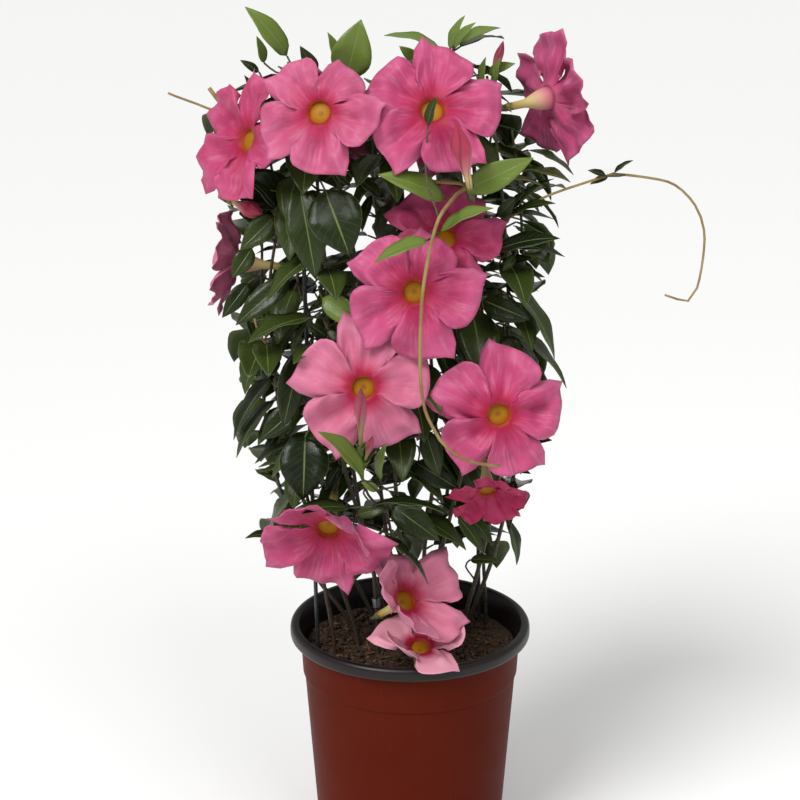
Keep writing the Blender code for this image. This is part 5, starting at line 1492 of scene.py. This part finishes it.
def dressLeaf(owner, facts):
    fine = fineStalk(owner, facts["path"])
    radii = [stem["petiole"] * (1.0 if number else 1.3) * 0.9 for number in range(len(fine))]
    growTube(ownMesh(stemWorks, owner), fine, radii, 5, [0.7 + 0.3 * stemTone(place) for place in fine])
    base, tip, tone = facts["path"][-1], facts["tip"], facts["tone"]
    if tone is None:
        tone = leafDraw.uniform(0.0, 0.36) ** 1.6
    columns, rows = (6, 12) if (tip - base).length > leafForm["longLeaf"] else (4, 10)
    growBlade(ownMesh(leafWorks, owner, "leafUv"), base, tip, facts["leaf"], tone, leafDraw, columns, rows)


calyx = {"neck": 0.0015, "sides": 8, "sepal": 0.008}


def dressStalk(owner, facts):
    # a stalk that widens to the calyx, with the sepals round its end
    fine = fineStalk(owner, facts["path"])
    neck, seat = facts["path"][-2:]
    radii = [stem["stalk"]] * len(fine)
    seatCount = max(2, round((seat - neck).length / stem["stalkStep"]) + 1)
    for number in range(seatCount):
        share = 1 - number / seatCount
        radii[-1 - number] = calyx["neck"] + (bloomForm["calyxRadius"] - calyx["neck"]) * share ** 1.6
    growTube(ownMesh(stemWorks, owner), fine, radii, calyx["sides"], [0.9] * len(fine))
    growSepals(ownMesh(leafWorks, owner, "leafUv"), seat, (seat - neck).normalized(),
               bloomForm["calyxRadius"], calyx["sepal"], leafDraw)


dressers = {"stem": dressStem, "shoot": dressStem, "leaf": dressLeaf, "stalk": dressStalk}
for kind, owner, facts in plant.parts:
    if kind in dressers:
        dressers[kind](owner, facts)
for owner, work in stemWorks.items():
    bmesh.ops.recalc_face_normals(work, faces=work.faces)
    skin = runnerSkin if owner.endswith("Runner") else stemSkin
    finishPiece(owner + "Stems", work, [skin], owner.replace("Runner", ""))
for owner, work in leafWorks.items():
    bmesh.ops.remove_doubles(work, verts=work.verts, dist=0.00002)
    finishPiece(owner + "Leaves", work, [leafFace, leafBack], owner, leafForm["thickness"])
print("stems and leaves ready:", len(plant.parts))

# 0 is the deepest pink, 1 the palest
bloomTones = {"bloom_fallen": 1.0, "bloom_young": 0.0, "bloom_side_left": 0.62, "bloom_low": 0.72,
              "bloom_top_left": 0.35, "bloom_behind_middle": 0.3, "bloom_left": 0.66, "bloom_top": 0.55}
for kind, owner, facts in plant.parts:
    if kind == "bloom":
        work = startMesh("petalUv")
        growBloom(work, owner, facts, bloomTones.get(owner, 0.5))
        finishPiece(owner + "Petals", work, [petalFace, petalBack], owner,
                    bloomForm["thickness"])
    elif kind == "bud":
        work = startMesh("petalUv")
        growBud(work, facts)
        skin = ripeBud if facts["radius"] > 0.006 else greenBud
        finishPiece(owner + "Skin", work, [skin], owner)
print("blooms ready")


def spinProfile(work, profile, steps):
    # vertices along the profile, turned once round the Z axis
    verts = [work.verts.new((radius, 0, height)) for radius, height in profile]
    edges = [work.edges.new(pair) for pair in zip(verts, verts[1:])]
    bmesh.ops.spin(work, geom=verts + edges, cent=(0, 0, 0), axis=(0, 0, 1), angle=math.tau, steps=steps,
                   use_merge=True)
    bmesh.ops.remove_doubles(work, verts=work.verts, dist=0.00001)
    bmesh.ops.recalc_face_normals(work, faces=work.faces)


def roundPoints(radius, height, *offsets):
    # points of a rounded edge as steps outward and up from its corner
    return [(radius + outward, height + upward) for outward, upward in offsets]


def makePot():
    base, neck, rim, top = pot["baseRadius"], pot["neckRadius"], pot["rimRadius"], pot["height"]
    mouth, shoulder, ledge, floor = innerWall()
    profile = [(0, 0), (0.050, 0)]
    profile += roundPoints(base, 0, (-0.0040, 0), (-0.0016, 0.0004), (-0.0003, 0.0016), (0, 0.0034))
    profile += [(base + (stepIn - base) * share, 0.0034 + (pot["stepHeight"] - 0.0036) * share)
                for share in (0.01, 0.25, 0.5, 0.75, 0.985)]
    profile += roundPoints(stepIn, pot["stepHeight"], (0.0002, 0))
    profile += roundPoints(stepOut, pot["stepHeight"], (-0.0003, 0.0007), (0, 0.0016), (0.0001, 0.0040))
    profile += roundPoints(neck, rimLow, (-0.0001, -0.0022), (0.0003, -0.0009), (0.0012, -0.0002))
    profile += roundPoints(rim, rimLow, (-0.0030, 0), (-0.0014, 0.0004), (-0.0004, 0.0015), (0, 0.0032))
    profile += roundPoints(rim, top, (0, -0.0052), (-0.0004, -0.0030), (-0.0014, -0.0012),
                           (-0.0030, -0.0002), (-0.0048, 0))
    profile += roundPoints(*mouth, (0.0004, -0.0003), (-0.0006, -0.0016))
    profile += roundPoints(*shoulder, (0.0003, 0.0012), (0, 0)) + [ledge]
    profile += roundPoints(*floor, (0, 0.0015), (-0.0015, 0)) + [(0, floor[1])]
    work = bmesh.new()
    spinProfile(work, profile, pot["steps"])
    for face in work.faces:
        middle = face.calc_center_median()
        inside = face.normal.to_2d().dot(middle.to_2d()) < -1e-7 and middle.z > 0.0035
        floorTop = face.normal.z > 0.5 and middle.z < 0.01
        face.material_index = int(inside or floorTop or middle.z > rimLow - 0.0006)
    item = finishPiece("potShell", work, [brownPlastic, blackPlastic], "pot")
    item.data.set_sharp_from_angle(angle=math.radians(50))
    # the drain holes are cut with one Boolean and the cutter is removed
    cutter = bmesh.new()
    for number in range(pot["drains"]):
        turn = math.tau * (number + 0.5) / pot["drains"]
        x, y = pot["drainCircle"] * math.cos(turn), pot["drainCircle"] * math.sin(turn)
        bmesh.ops.create_cone(cutter, cap_ends=True, segments=24, radius1=pot["drainRadius"],
                              radius2=pot["drainRadius"], depth=0.02, matrix=Matrix.Translation((x, y, 0)))
    tool = newThing("drainCutter", newMesh("drainCutter", cutter))
    cut = item.modifiers.new("Drains", "BOOLEAN")
    cut.operation = "DIFFERENCE"
    cut.object = tool
    cut.solver = "EXACT"
    result = bpy.data.meshes.new_from_object(item.evaluated_get(bpy.context.evaluated_depsgraph_get()))
    item.modifiers.remove(cut)
    item.data = result
    bpy.data.objects.remove(tool, do_unlink=True)


def soilPlace(draw, reach):
    # a place on the soil, evenly spread
    reach *= math.sqrt(draw.random())
    turn = draw.uniform(0, math.tau)
    x, y = reach * math.cos(turn), reach * math.sin(turn)
    return x, y, soilHeight(x, y)


def addClod(work, draw, reach):
    x, y, ground = soilPlace(draw, reach)
    size = draw.choice((0.0011, 0.0014, 0.0018, 0.0024, 0.0034))
    turn = Matrix.Rotation(draw.uniform(0, math.tau), 4, "Z")
    place = Matrix.Translation((x, y, ground + size * 0.35)) @ turn
    form = Matrix.Diagonal((size * draw.uniform(0.8, 1.6), size, size * draw.uniform(0.5, 0.9), 1))
    for vert in bmesh.ops.create_icosphere(work, subdivisions=1, radius=1, matrix=place @ form)["verts"]:
        vert.co += noise.noise_vector(vert.co * 400) * size * 0.35


def addFibre(work, draw, edge):
    x, y, ground = soilPlace(draw, edge - 0.008)
    start = Vector((x, y, ground + draw.uniform(0.0005, 0.0030)))
    way = Vector((draw.uniform(-1, 1), draw.uniform(-1, 1), draw.uniform(-0.2, 0.25))).normalized()
    length = draw.uniform(0.003, 0.011)
    bend = Vector((-way.y, way.x, 0)) * length * draw.uniform(-0.2, 0.2)
    end = start + way * length
    if math.hypot(end.x, end.y) <= edge - 0.002:
        thick = draw.choice((0.00035, 0.0005, 0.0009, 0.0013))
        path = [start, start + way * length * 0.5 + bend, end]
        growTube(work, path, [thick * 0.7, thick, thick * 0.5], 4, [0, 0, 0])


def makeSoil():
    # a crumbly top that dips and heaps a little, over a plain body that fills the pot
    edge = wallRadius(soil["top"]) - 0.0005
    top = [(edge * (1 - number / soil["rings"]), soil["top"]) for number in range(soil["rings"] + 1)]
    work = bmesh.new()
    spinProfile(work, soilBody() + top, soil["steps"])
    for vert in work.verts:
        if vert.co.z > soil["top"] - 1e-5:
            inner = smoothRange(edge - math.hypot(vert.co.x, vert.co.y), 0, 0.012)
            rough = noise.fractal(vert.co * 120, 0.9, 2.2, 5) * soil["crumbs"]
            heap = noise.noise(vert.co * 26) * soil["heaps"]
            vert.co.z = soilHeight(vert.co.x, vert.co.y) + (rough + heap) * (0.25 + 0.75 * inner) - 0.0008
    draw = random.Random(seed + 20)
    for _ in range(soil["clods"]):
        addClod(work, draw, edge - 0.004)
    finishPiece("soilBed", work, [darkPeat], "soil")
    work = startMesh()
    for _ in range(soil["fibres"]):
        addFibre(work, draw, edge)
    bmesh.ops.recalc_face_normals(work, faces=work.faces)
    finishPiece("soilFibres", work, [barkChips], None)


def makeHoop():
    # one bent rod: straight legs and a round arch
    path = hoopPath((hoop["foot"], 0.2, soil["top"] + hoop["ground"], *hoop["bends"]), hoop["archSteps"])
    work = startMesh()
    growTube(work, path, [hoop["radius"]] * len(path), hoop["sides"], [0] * len(path))
    bmesh.ops.recalc_face_normals(work, faces=work.faces)
    finishPiece("hoopWire", work, [coatedWire], "hoop")


def makeClip():
    # a strip of sheet steel rolled round the stem, with its lips turned out
    centre, along = clipPlace(plant.paths["vine_front_left"])
    centre = rootOn("vine_front_left", centre)
    side = anySide(along)
    other = along.cross(side)
    work = bmesh.new()
    for vert in bmesh.ops.create_grid(work, x_segments=26, y_segments=3, size=1)["verts"]:
        share = (vert.co.x + 1) / 2
        turn = math.radians(clip["turn"]) * share
        lip = clip["lip"] * (smoothRange(share, 0.93, 1) + smoothRange(1 - share, 0.93, 1))
        reach = stem["footRadius"] + 2 * gap + clip["wall"] / 2 + lip
        out = side * math.cos(turn) + other * math.sin(turn)
        vert.co = centre + out * reach + along * clip["height"] / 2 * vert.co.y
    bmesh.ops.solidify(work, geom=work.faces, thickness=clip["wall"] / 2)
    bmesh.ops.recalc_face_normals(work, faces=work.faces)
    item = finishPiece("clipBand", work, [clipSteel], "clip")
    item.data.set_sharp_from_angle(angle=math.radians(40))


makePot()
makeSoil()
makeHoop()
makeClip()
print("pot, soil, wire and clip ready")

# white floor, low even sky, soft sun from the upper left, and a wide panel that gives the leaves their gloss
stage = {
    "floor": "#fbfbfa", "floorSize": 60, "sky": "#ffffff", "skyStrength": 0.44,
    "sun": {"from": (-0.62, -0.75, 1.0), "strength": 2.35, "angle": 30},
    "panel": {"place": (0.6, -1.5, 2.7), "aim": (0, 0, 0.6), "size": 1.0, "watts": 19},
}


def makeStage():
    scene = bpy.context.scene
    work = bmesh.new()
    bmesh.ops.create_grid(work, x_segments=1, y_segments=1, size=stage["floorSize"])
    floor = newThing("floor", newMesh("floor", work))
    floor.data.materials.append(finishMaterial(startMaterial("mattPaper")[0], stage["floor"], 0.9))
    world = bpy.data.worlds.new("paleRoom")
    world.use_nodes = True
    sky = world.node_tree.nodes["Background"]
    sky.inputs["Color"].default_value = toLinear(stage["sky"])
    sky.inputs["Strength"].default_value = stage["skyStrength"]
    scene.world = world
    sun = bpy.data.lights.new("sun", "SUN")
    sun.energy = stage["sun"]["strength"]
    sun.angle = math.radians(stage["sun"]["angle"])
    newThing("sun", sun).rotation_euler = Vector(stage["sun"]["from"]).to_track_quat("Z", "Y").to_euler()
    facts = stage["panel"]
    panel = bpy.data.lights.new("panel", "AREA")
    panel.size = facts["size"]
    panel.energy = facts["watts"]
    lamp = newThing("panel", panel)
    lamp.location = facts["place"]
    lamp.rotation_euler = (Vector(facts["aim"]) - lamp.location).to_track_quat("-Z", "Y").to_euler()
    lens = bpy.data.cameras.new("photoView")
    lens.sensor_width = 36
    lens.lens = 36 * view["focalPixels"] / (2 * view["middle"])
    camera = newThing("photoView", lens)
    camera.location = view["place"]
    camera.rotation_euler = (math.radians(90) - view["pitch"], 0, 0)
    scene.camera = camera
    scene.view_settings.view_transform = "Standard"


makeStage()
print("stage ready")
